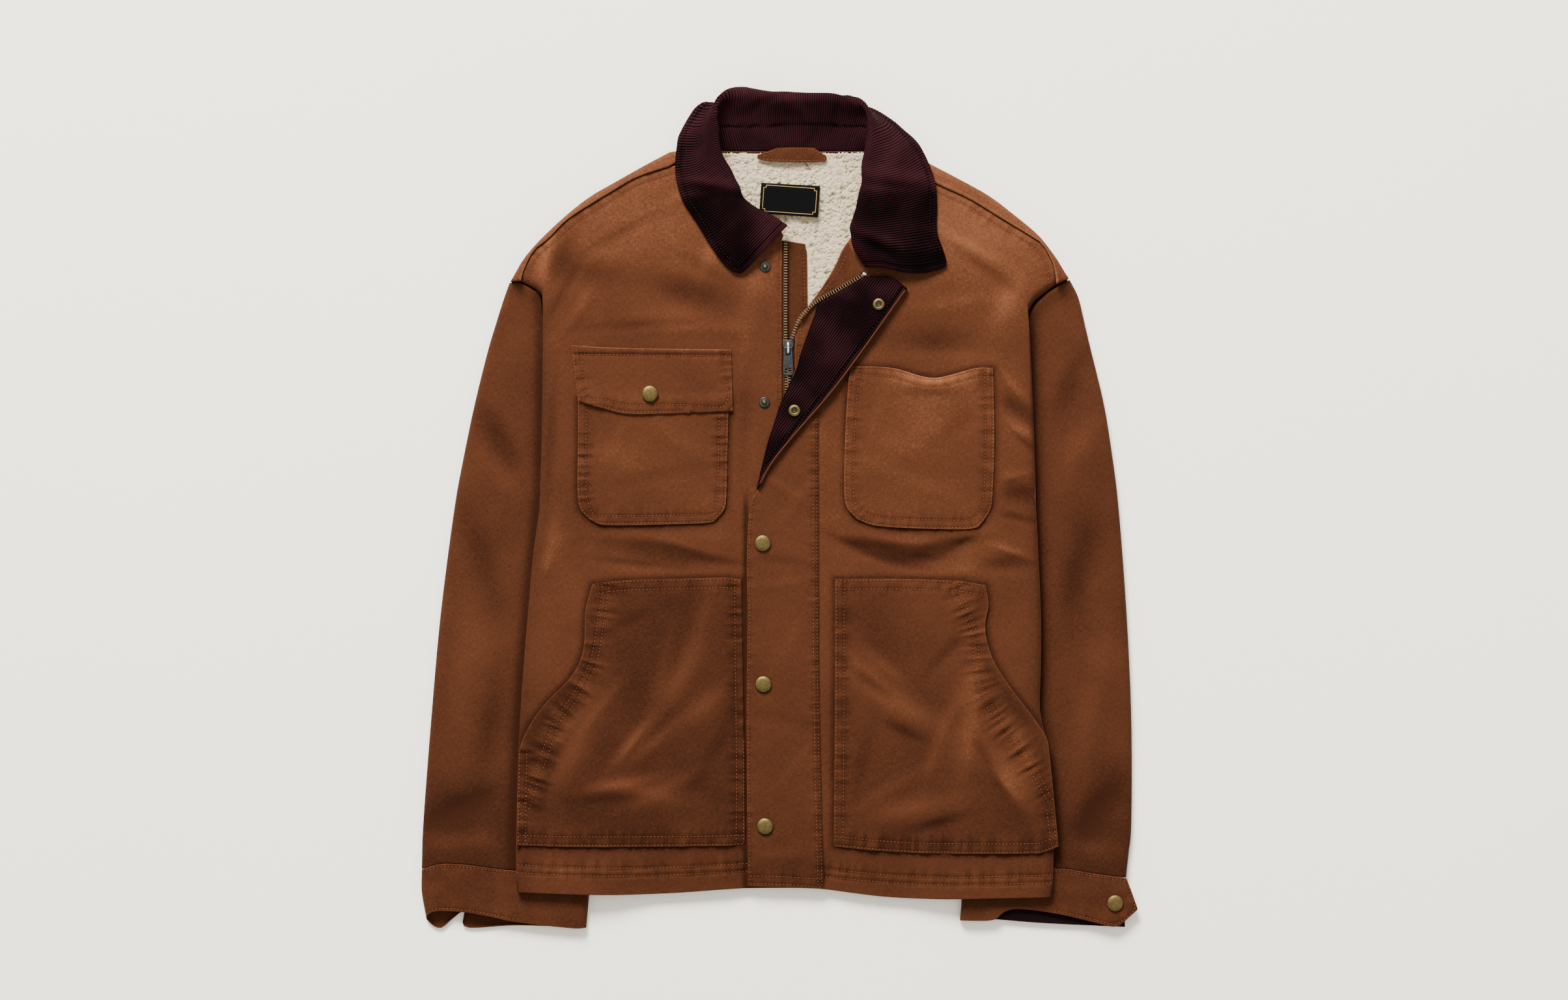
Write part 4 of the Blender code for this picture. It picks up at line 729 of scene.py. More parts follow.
def makeCorduroy():
    # dark rows of short pile, with the wear-and-shade value: rib tops lighter and painted shade in the valleys and
    # creases; the ribs themselves are in the mesh
    finish, tree, shader = newFinish("corduroy", (0.03, 0.008, 0.011), 0.9, sheen=0.015, sheenTint=(0.9, 0.4, 0.45),
                                     shine=0.02)
    tuft = noiseNode(tree, clothCoordinates(tree), 1.1, 3.0, 0.6)
    blotch = noiseNode(tree, clothCoordinates(tree), 0.035, 3.0, 0.6)
    shade = sumOf(tree, (wearValue(tree), 0.62), (tuft, 0.35), (blotch, 0.25))
    color = rampNode(tree, shade, [(0.25, (0.0003, 0.0001, 0.0001)), (0.55, (0.0016, 0.0003, 0.0005)),
                                   (1.0, (0.0265, 0.0070, 0.0092))])
    wire(tree, shader, color, bumpNode(tree, tuft, 0.00035, 0.5))
    return finish


def makePile():
    # curly cream pile, with painted shade between the lumps from the wear-and-shade value; lumps are in the mesh,
    # single hairs are here
    finish, tree, shader = newFinish("pile", (0.8, 0.76, 0.68), 0.95, sheen=0.12, sheenTint=(1, 0.95, 0.85))
    curl = noiseNode(tree, objectCoordinates(tree), 0.9, 3.0, 0.6, distortion=1.6)
    shade = sumOf(tree, (wearValue(tree), 0.65), (curl, 0.45))
    color = rampNode(tree, shade, [(0.10, (0.24, 0.185, 0.112)), (0.45, (0.345, 0.272, 0.170)),
                                   (0.9, (0.51, 0.43, 0.295))])
    wire(tree, shader, color, bumpNode(tree, curl, 0.0011, 0.7))
    return finish


def makeKnit():
    finish, tree, shader = newFinish("knit", (0.008, 0.003, 0.004), 0.95, shine=0.02, sheen=0.01,
                                     sheenTint=(0.8, 0.6, 0.65))
    cut = clothCoordinates(tree)
    loops = waveNode(tree, cut, 1.3, "Y", distortion=2.0)
    shade = sumOf(tree, (loops, 0.35), (noiseNode(tree, cut, 0.8, 3.0, 0.6), 0.5))
    color = rampNode(tree, shade, [(0.1, (0.0015, 0.0006, 0.0009)), (0.9, (0.013, 0.005, 0.007))])
    wire(tree, shader, color, bumpNode(tree, shade, 0.0004, 0.7))
    return finish


def makeTape(name, dark, light, pitch, turn=0.0, roughness=0.85):
    # narrow woven goods: zip tape, the label and its border
    finish, tree, shader = newFinish(name, light, roughness, shine=0.02)
    cut = clothCoordinates(tree, turn=turn)
    ribs = waveNode(tree, cut, pitch, "X")
    relief = mathNode(tree, "MULTIPLY", ribs, waveNode(tree, cut, pitch * 0.8, "Y"))
    shade = sumOf(tree, (relief, 0.4), (noiseNode(tree, cut, 0.6, 3.0, 0.6), 0.7))
    color = rampNode(tree, shade, [(0.15, dark), (0.85, light)])
    wire(tree, shader, color, bumpNode(tree, relief, 0.0002, 0.6))
    return finish


def makeThread(name, dark, light):
    finish, tree, shader = newFinish(name, light, 0.7)
    where = objectCoordinates(tree)
    strand = noiseNode(tree, where, 2.2, 2.0, 0.5)
    shade = sumOf(tree, (noiseNode(tree, where, 0.05, 3.0, 0.6), 0.6), (strand, 0.45))
    color = rampNode(tree, shade, [(0.3, dark), (0.75, light)])
    wire(tree, shader, color, bumpNode(tree, strand, 0.00025, 0.6))
    return finish


def makeMetal(name, dark, mid, light, roughness, scale=0.5, dent=0.00012):
    finish, tree, shader = newFinish(name, mid, roughness, metallic=1.0)
    where = objectCoordinates(tree)
    shade = sumOf(tree, (noiseNode(tree, where, scale, 4.0, 0.62), 0.7),
                  (noiseNode(tree, where, scale * 7, 2.0, 0.5), 0.3))
    color = rampNode(tree, shade, [(0.25, dark), (0.5, mid), (0.8, light)])
    rough = rangeNode(tree, shade, min(roughness + 0.18, 0.9), roughness - 0.1)
    wire(tree, shader, color, bumpNode(tree, shade, dent, 0.5), rough)
    return finish


corduroy = makeCorduroy()
pile = makePile()
knit = makeKnit()
tape = makeTape("tape", (0.020, 0.006, 0.002), (0.075, 0.024, 0.008), 1.0)
labelWeave = makeTape("weave", (0.0010, 0.0010, 0.0012), (0.0050, 0.0048, 0.0052), 0.7, 45, 0.7)
goldThread = makeTape("gold_thread", (0.16, 0.10, 0.03), (0.46, 0.33, 0.13), 0.8, 30, 0.55)
thread = makeThread("thread", (0.068, 0.0203, 0.0060), (0.155, 0.0515, 0.0182))
brass = makeMetal("brass", (0.045, 0.031, 0.010), (0.103, 0.072, 0.025), (0.18, 0.137, 0.054), 0.48)
toothBrass = makeMetal("tooth_brass", (0.05, 0.038, 0.022), (0.17, 0.132, 0.078), (0.36, 0.30, 0.20), 0.38)
gunmetal = makeMetal("gunmetal", (0.012, 0.012, 0.013), (0.036, 0.037, 0.038), (0.09, 0.09, 0.09), 0.45)
chrome = makeMetal("chrome", (0.35, 0.35, 0.35), (0.55, 0.55, 0.55), (0.75, 0.75, 0.74), 0.22)

floorFinish, floorTree, floorShader = newFinish("floor", stage["floorColor"], 0.9)
paper = noiseNode(floorTree, objectCoordinates(floorTree, (1, 1, 1)), 2.0, 2.0)
tone = rampNode(floorTree, paper, [(0.3, tuple(0.985 * part for part in stage["floorColor"])),
                                   (0.7, stage["floorColor"])])
joinNodes(floorTree, (tone, floorShader.inputs["Base Color"]))
arrange(floorTree)
bm = bmesh.new()
bmesh.ops.create_grid(bm, x_segments=2, y_segments=2, size=stage["floorSize"] / 2)
bmesh.ops.translate(bm, verts=bm.verts, vec=(0, 0, -0.0003))
bmeshPiece("floor", bm, floorFinish, smooth=False)
print("stage, light, camera and finishes ready")


# ---- sewing: rows of stitching on each panel, "twin" is the step sideways to a second row

sewing = {
    "front_right": [
        {"line": [(-249, -338), (-200, -340.5), (-150, -341.5), (-100, -340.5), (-50, -338), (1, -336)], "twin": -7.5,
         "pucker": 0.5, "groove": 1.2},
        {"line": [(0, -352), (0, -100), (0.2, 100), (0.3, 254)], "pucker": 0.18, "reach": 4},
        {"line": [(-239, 214), (-236, 227), (-228, 242), (-216, 252), (-197, 270), (-177, 283), (-158, 294.5),
                  (-133, 309.5), (-99, 321), (-64, 335)], "pucker": 0.3}],
    "front_left": [
        {"line": [(17, -340), (60, -344), (110, -348.5), (160, -350), (210, -349), (259, -347.5)], "twin": -7.5,
         "pucker": 0.5, "groove": 1.2},
        {"line": [(18.6, 60), (18.6, 140), (20, 160), (22, 176), (32, 191), (41, 204)], "pucker": 0.2, "reach": 4},
        {"line": [(257, 211), (255.5, 228), (252, 236), (245, 248), (236, 254), (217, 265), (197, 277), (177.5, 289),
                  (148, 303), (116, 319), (92, 331)], "pucker": 0.3}],
    "chest_pocket_right": [
        {"line": [(-190.3, 102), (-190.3, 20), (-187.7, 2), (-180, -8), (-168, -12.8), (-66, -11.3), (-59.3, -7),
                  (-52.8, 3), (-51.3, 20), (-49.6, 102)], "twin": 7.0, "pucker": 0.4}],
    "chest_pocket_left": [
        {"line": [(70, 134), (67.2, 110), (64.3, 60), (63.4, 22), (65.8, 3), (75, -7.5), (88, -13), (110, -15.5),
                  (150, -17), (183, -16.5), (193, -10), (199.6, 1.5), (201.7, 20), (203, 70), (202.4, 133)],
         "twin": 7.0, "pucker": 0.4},
        {"line": [(68.4, 135), (106.5, 133.1), (133.4, 125.5), (147, 123.5), (160, 125.5), (187, 132.7),
                  (203, 132.9)], "twin": -7.0, "pucker": 0.35}],
    "chest_pocket_flap": [
        {"line": [(-196, 147.5), (-150, 147), (-46, 145.6)], "pucker": 0.3, "groove": 0.8},
        {"line": [(-195.5, 154), (-189, 104), (-168, 98.3), (-144, 92.8), (-100, 93.2), (-45.6, 95.2), (-47, 150.5)],
         "twin": 6.6, "pucker": 0.32}],
    "lower_pocket_right": [
        {"line": [(-35.5, -66), (-34.6, -150), (-33.5, -250), (-34, -318)], "twin": -7.0, "pucker": 0.45},
        {"line": [(-34, -318), (-100, -319), (-200, -319), (-247.5, -317.6)], "twin": -8.0, "pucker": 0.5},
        {"line": [(-161, -70), (-167, -110), (-172, -140), (-180, -160), (-195, -185), (-207, -200), (-215, -220),
                  (-222, -240), (-231, -265), (-240, -292)], "twin": -6.0, "pucker": 0.8, "reach": 11},
        {"line": [(-246.2, -228), (-247.6, -316)], "twin": 6.5, "pucker": 0.55},
        {"line": [(-176.5, -72.5), (-150, -69), (-100, -67.5), (-50, -66.4), (-36.5, -68)], "twin": -8.0,
         "pucker": 0.4}],
    "lower_pocket_left": [
        {"line": [(54.8, -68), (54.6, -200), (53.6, -319)], "twin": 7.0, "pucker": 0.45},
        {"line": [(53.6, -319), (101, -323.5), (150, -325.5), (235, -325.5), (252, -324), (264, -318.5)], "twin": 8.0,
         "pucker": 0.5},
        {"line": [(165, -69), (174, -95), (183, -118), (185, -149), (190.5, -175), (211, -208), (225, -226),
                  (240, -251), (256, -279)], "twin": 5.0, "pucker": 0.8, "reach": 11},
        {"line": [(259, -284), (263.6, -318)], "twin": -5.0, "pucker": 0.5},
        {"line": [(54.5, -68), (100, -67.6), (150, -68.6), (175, -70), (195, -73.5)], "twin": -8.0, "pucker": 0.4}],
    "storm_flap": [
        {"line": [(-27.8, -357), (-29, -200), (-28, -100), (-28.7, -50), (-27, -11), (-24.4, 6.5)], "pucker": 0.3,
         "reach": 5},
        {"line": [(40.6, -359), (36.6, -172), (35.8, 87), (36, 166)], "twin": 3.6, "pucker": 0.35, "reach": 5},
        {"line": [(-28, -356.5), (0, -357), (40, -359.5)], "twin": 7.5, "pucker": 0.35}],
}


def alongside(line, step):
    # a second row beside the first, to its left where the step is positive
    points = np.array(line, float)
    direction = np.gradient(points, axis=0)
    direction /= np.linalg.norm(direction, axis=1)[:, None]
    return points + step * np.column_stack([-direction[:, 1], direction[:, 0]])


def allRows(name):
    rows = []
    for row in sewing.get(name, []):
        rows.append(row)
        if row.get("twin"):
            second = dict(row, line=[tuple(point) for point in alongside(smoothLine(row["line"], 14), row["twin"])])
            rows.append(second)
    return rows


stitch = {"length": 2.6, "pitch": 3.4, "width": 0.78, "height": 0.6, "inset": 1.2, "look": 0.6, "lift": 0.12,
          "wander": 0.09, "steepest": 0.35, "seed": 5}


def threadBead():
    bead = bmesh.new()
    bmesh.ops.create_icosphere(bead, subdivisions=1, radius=0.5)
    bmesh.ops.scale(bead, verts=bead.verts, vec=(stitch["length"], stitch["width"], stitch["height"]))
    bmesh.ops.scale(bead, verts=bead.verts, vec=(mm, mm, mm))
    return bead


def beadPlace(spot, normal, ahead, lift, turn=0.0):
    # lying on the cloth with its length ahead
    side = normal.cross(ahead).normalized()
    ahead = side.cross(normal).normalized()
    turned = Matrix((ahead, side, normal)).transposed() @ Matrix.Rotation(turn, 3, "Z")
    return Matrix.Translation(spot + normal * lift * mm) @ turned.to_4x4()


def sewStitches(name, carrier, rows, finish=None):
    # one small bead of thread, laid again and again along the rows
    tree, wander, places = treeOf(carrier), np.random.RandomState(stitch["seed"]), []
    for row in rows:
        line = smoothLine(row["line"], 3.0)
        reach = travelled(line)
        count = max(2, int(reach[-1] / stitch["pitch"]))
        along = np.linspace(stitch["inset"], reach[-1] - stitch["inset"], count)
        spots, after, before = [np.column_stack([np.interp(along + step, reach, line[:, k]) for k in (0, 1)])
                                for step in (0.0, stitch["look"], -stitch["look"])]
        for (x, y), step in zip(spots, after - before):
            spot, normal = plumb(tree, x, y)
            if spot is not None and normal.z >= stitch["steepest"]:
                turn = wander.uniform(-stitch["wander"], stitch["wander"])
                places.append(beadPlace(spot, normal, Vector((*step, 0)).normalized(), stitch["lift"], turn))
    piece = repeatShape("stitches_" + name, threadBead(), places, finish or thread)
    return settle(piece, "jacket")


def layCloth(plan, stitches=None):
    # works out the size and area of the panel's flat cut, and keeps neither
    flat = plan.reshape(-1, 2)
    width, length = (flat.max(0) - flat.min(0)) * mm * 1.015
    quads = plan[1:, 1:] - plan[:-1, :-1], plan[1:, :-1] - plan[:-1, 1:]
    area = abs(0.5 * np.cross(quads[0], quads[1]).sum()) * mm * mm
    area = min(max(area, 0.31 * width * length), width * length)


def layPanel(node, plan, height, finish, slotName, restsOn, rows=(), part="_cloth", sewnWith=None, **cut):
    # one panel from its plan and heights: the cloth and its stitching
    piece = clothPiece(node + part, withHeight(plan, height), finish, **cut)
    settle(piece, "jacket", [node])
    stitches = sewStitches(node, piece, rows, sewnWith) if rows else None
    layCloth(plan, stitches)
    return piece


# ---- sleeves and cuffs

sleeveLook = {"wall": 3.0, "crumple": 0.55, "seed": 31, "shadeTowardsCuff": 0.36, "capRise": 3.2}


def sleeveForm(plan, sideLine, rollEnd=True):
    x, y = plan[..., 0], plan[..., 1]
    line = np.array(sorted(sideLine, key=lambda point: point[1]))
    side = np.interp(y, line[:, 1], np.abs(line[:, 0]))
    showing = smoothStep(np.abs(x) - side, 4, 40)
    height = layers["sleeveTop"] + 0.8 * showing + foldHeight(x, y, sleeveFolds) * showing
    for column in (0, -1):
        if column == 0 and not rollEnd:
            continue
        edge = height[:, column][:, None] - layers["sleeveSide"] - 0.35
        height = height - turnedEdge(plan, column, 6.5) * edge
    return height, showing


def underForm(plan, rollEnd=True):
    height = turnedEdge(plan, -1, 6.5) * (layers["sleeveSide"] - 3.6)
    if rollEnd:
        height = height + turnedEdge(plan, 0, 6.5) * (layers["sleeveSide"] - 3.6)
    return height


sleeveShares = edgeShares(62, 160)
sleeveRows = edgeShares(225, 560)

for side, lines in sleeves.items():
    bodySide = rightSide if side == "right" else leftSide
    turn = slice(None) if side == "right" else slice(None, None, -1)
    for half in ("top", "under"):
        head, inner = lines["head"], lines["inner"]
        across = sleeveShares if half == "top" else edgeShares(14, 160)
        up = sleeveRows if half == "top" else edgeShares(26, 560)
        if half == "under":
            armhole = alongside(armholeRight, -1.05) if side == "right" else alongside(armholeLeft, 1.05)
            head = [head[0]] + [tuple(point) for point in armhole[1:]]
            inner = [head[-1]] + inner[1:]
        plan = panelPlan(lines["seam"], head, lines["outer"][::-1], inner[::-1], across, up)
        x, y = plan[..., 0], plan[..., 1]
        # tone: painted light falloff, lighter at the shoulders and painted shade growing towards the cuffs, a little
        # darker on the whole, with random variation
        wear = lightFalloff(y) - 0.14 + 0.10 * softNoise(x, y, 30, 4) - sleeveLook["shadeTowardsCuff"] * smoothStep(-y, 230, 345)
        if half == "top":
            height, showing = sleeveForm(plan, bodySide)
            small = crumple(x, y, sleeveLook["seed"]) * sleeveLook["crumple"] * showing
            height = height + small * np.minimum(1, rimDistance(plan) / 9)
            height = height + sleeveLook["capRise"] * bell(awayFrom(plan, plan[-1:]), 9)
            beside = nearLine(x, y, np.array(bodySide, float))[0]
            height = height - 1.5 * bell(beside, 6)
            # painted shading on the crumples and folds, tops lighter and hollows darker, and a painted shadow along
            # the body's edge
            wear = wear + 0.35 * small + 0.24 * np.clip(foldHeight(x, y, sleeveFolds), -2, 2) * showing
            wear = wear - 0.75 * bell(beside, 8)
        else:
            height = underForm(plan)
        layPanel(f"sleeve_{side}_{half}", plan[:, turn], height[:, turn], canvas, "canvas",
                 [f"sleeve_{side}_under"] if half == "top" else ["floor"], wall=sleeveLook["wall"],
                 faceDown=half == "under", wear=wear[:, turn], grain=-7 if side == "right" else 3,
                 turnIn=4 if half == "top" else 2)
print("sleeves ready")

cuffLook = {"wall": 2.6, "dark": 0.24, "seed": 77, "crumple": 0.3}
cuffRows = {
    "right": [{"line": [(-340, -346), (-324, -340.5), (-300, -341), (-250, -347)], "pucker": 0.35},
              {"line": [(-334, -384), (-330, -381), (-318.6, -380.3), (-298.7, -381.6), (-275.6, -385.6),
                        (-252, -390.6)], "pucker": 0.3}],
    "left": [{"line": [(330, -354), (300, -349.5), (273, -345), (263, -345)], "pucker": 0.35},
             {"line": [(332.6, -356), (333, -361), (338.6, -380.5), (324, -393.6), (316, -394.8), (300, -390.8),
                       (273, -384.4), (262, -382.4)], "pucker": 0.3}],
}

for side, lines in cuffs.items():
    bodySide = rightSide if side == "right" else leftSide
    turn = slice(None) if side == "right" else slice(None, None, -1)
    tab = side == "left"
    for half in ("top", "under"):
        fine = half == "top"
        columns = edgeShares(70 if fine else 40, 160)
        up = edgeShares(26 if fine else 12, 52)
        seam = np.array(sleeves[side]["seam"]) - [0, 0.53 if fine else 2.1]
        edge = lines["edge"] if fine else lines["under"]
        end = [tuple(seam[0])] + lines["end"][1:]
        if not fine:
            end = [tuple(seam[0]), (330.5, -370), edge[0]] if tab else end[:-1] + [edge[0]]
        inner = [tuple(seam[-1])] + lines["inner"][1:-1] + [edge[-1]]
        rows = alongLine(end[::-1], up)
        if fine and tab:
            rows = joinLines([(0.4, [tabCorner[1], tabCorner[0]]), (1.0, end[::-1])], up)
        plan = coonsPatch(alongLine(edge, columns), alongLine(seam, columns), rows, alongLine(inner[::-1], up),
                          columns, up)
        x, y = plan[..., 0], plan[..., 1]
        wear = -cuffLook["dark"] + 0.15 * softNoise(x, y, 12, 8) + 0.5 * bell(rimDistance(plan), 1.0)
        if fine:
            height = sleeveForm(plan, bodySide, not tab)[0]
            relief, rubbedAndPaintedLight = sewnRelief(x, y, cuffRows[side])
            small = crumple(x, y, cuffLook["seed"]) * cuffLook["crumple"]
            height = height + relief + small * np.minimum(1, rimDistance(plan) / 8)
            # painted shading on the crumples: tops lighter, hollows darker
            wear = wear + rubbedAndPaintedLight + 0.3 * small
        else:
            height = underForm(plan, not tab)
        layPanel(f"cuff_{side}_{half}", plan[:, turn], height[:, turn], canvas, "canvas",
                 [f"cuff_{side}_under"] if fine else ["floor"], cuffRows[side] if fine else (),
                 wall=cuffLook["wall"], faceDown=not fine, wear=wear[:, turn], turnIn=5 if fine else 3)

ribs = {"pitch": 2.6, "depth": 0.8, "level": 5.6}
columns, rows = edgeShares(190, 125), edgeShares(12, 37)
plan = panelPlan(knitEdge, [(208, -360), (328.5, -362)], [(206, -391), (208, -360)],
                 [(330, -398.3), (328.5, -362)], columns, rows)
rib = np.abs(np.sin(math.pi * plan[..., 0] / ribs["pitch"]))**0.6
layPanel("cuff_left_knit", plan, ribs["level"] - ribs["depth"] * (1 - rib), knit, "knit", ["cuff_left_under"],
         part="_band", wall=2.0, wear=rib, turnIn=3)
print("cuffs ready")


# ---- fronts

fronts = {
    "right": {"sign": -1, "edgeX": 2.5, "folds": rightFrontFolds, "creases": rightCreases, "seed": 3},
    "left": {"sign": 1, "edgeX": 15, "folds": leftFrontFolds, "creases": leftCreases, "seed": 19},
}
pocketPlaces = [(-200, -42, -18, 158), (60, 206, -20, 140), (-252, -32, -322, -68), (50, 262, -328, -70)]


def underPockets(x, y):
    covered = np.zeros_like(x)
    for xFrom, xTo, yFrom, yTo in pocketPlaces:
        inside = (smoothStep(x, xFrom - 14, xFrom) * smoothStep(-x, -xTo - 14, -xTo)
                  * smoothStep(y, yFrom - 14, yFrom) * smoothStep(-y, -yTo - 14, -yTo))
        covered = np.maximum(covered, inside)
    return covered


def frontTop(x, y, side):
    # height of a front: higher over the sleeve, lower at the hem, the shoulder and the zip
    facts = fronts[side]
    outward = x * facts["sign"]
    overSleeve = smoothStep(outward, 110, 185)
    height = layers["front"] + layers["overSleeve"] * overSleeve
    height = height - layers["hemDrop"] * (1 - 0.85 * overSleeve) * smoothStep(-y, 315, 368)
    height = height - 3.2 * smoothStep(outward, 190, 235) * smoothStep(y, 190, 250)
    height = height - 1.4 * smoothStep(y - 0.55 * (245 - outward), 230, 255)
    height = height - 1.6 * smoothStep(-np.abs(x - facts["edgeX"]), -60, -34)
    return height + 1.35 * foldHeight(x, y, facts["folds"]) * (1 - underPockets(x, y))


def frontBeneath(x, y):
    return np.where(x < 0, frontTop(x, y, "right"), frontTop(x, y, "left"))


def neckRise(x, y):
    # the back lies higher where it rolls forward behind the neck
    return layers["backNeck"] * smoothStep(y, 296, 330) * (1 - smoothStep(np.abs(x - 14), 70, 112))


frontLook = {"wall": 1.9, "crumple": 0.62, "seamShade": 0.30}

for side, facts in fronts.items():
    right = side == "right"
    across, up = edgeShares(146, 248), edgeShares(355, 620)
    if right:
        plan = coonsPatch(alongLine(rightHem, across), alongLine(rightSeam, across),
                          joinLines([(0.95, rightSide), (1.0, rightTip)], up),
                          joinLines([(0.86, [(2.5, -359.5), (2.5, -100), (2.5, 100), (2.5, 256.5)]),
                                     (1.0, rightNeck)], up), across, up)
    else:
        plan = coonsPatch(alongLine(leftHem[::-1], across), alongLine(leftSeam, across),
                          joinLines([(0.94, leftSide), (1.0, leftTip)], up),
                          joinLines([(0.74, [(15, -360), (15, -100), (15, 160)]), (0.88, leftEdgeLine),
                                     (1.0, leftNeck)], up), across, up)[:, ::-1]
    column = 0 if right else -1
    x, y = plan[..., 0], plan[..., 1]
    height = frontTop(x, y, side)
    free = 1 - underPockets(x, y)
    height = height + 1.3 * foldHeight(x, y, facts["creases"]) * free
    name = f"front_{side}"
    relief, rubbedAndPaintedLight = sewnRelief(x, y, allRows(name))
    small = crumple(x, y, facts["seed"]) * frontLook["crumple"]
    rim = np.minimum(1, rimDistance(plan) / 10)
    hemTuck = softNoise(x, 0 * y, 6.5, 40) * bell(y + 334, 13) * 0.5
    height = height + relief + small * rim + hemTuck
    # painted shadow around each pocket's edges, used only in the tone
    pocketShadow = 0 * x
    for lines in pockets.values():
        if lines["front"] == name:
            ring = [*lines["lower"], *lines["right"], *lines["upper"][::-1], *lines["left"][::-1]]
            gap = nearLine(x, y, np.array(ring, float))[0]
            pocketShadow = np.maximum(pocketShadow, bell(gap, 4.2))
    # a dip beside the storm flap's free edge, also painted darker as its shadow in the tone
    besideFlap = bell(x + 31.5, 2.6) * smoothStep(-y, -25, 5) * (1 if right else 0)
    height = height - 0.9 * besideFlap
    sideY = plan[:, column, 1][:, None]
    seamHeight = layers["sideSeam"] + 0.35 - 3.4 * smoothStep(sideY, 40, 75) + 1.4 * smoothStep(sideY, 190, 215)
    edgeHeight = height[:, column][:, None]
    height = height - turnedEdge(plan, column, 9.0) * (edgeHeight - seamHeight)
    sideShade = awayFrom(plan, plan[:, :1] if right else plan[:, -1:])
    # tone: painted light falloff, the left front a little lighter, stitching with its rubbing and painted groove
    # shade, painted shading on crumples and folds (tops lighter, hollows darker), random variation, painted shade
    # along the side seam, painted shadows beside the storm flap and around the pockets, and pale rubbed rims
    folded = foldHeight(x, y, facts["folds"]) + foldHeight(x, y, facts["creases"])
    wear = (lightFalloff(y) + (0 if right else 0.1) + rubbedAndPaintedLight + 0.3 * small + 0.28 * folded * free
            + 0.12 * softNoise(x, y, 60, 23) - frontLook["seamShade"] * bell(sideShade, 12)
            - 1.1 * besideFlap - 0.8 * pocketShadow + 0.3 * bell(rimDistance(plan), 0.8))
    layPanel(name, plan, height, canvas, "canvas", ["lining", "back", f"sleeve_{side}_top"], allRows(name),
             wall=frontLook["wall"], wear=wear, turnIn=6)
print("fronts ready")


# ---- back, flat below and rolled forward over both shoulders

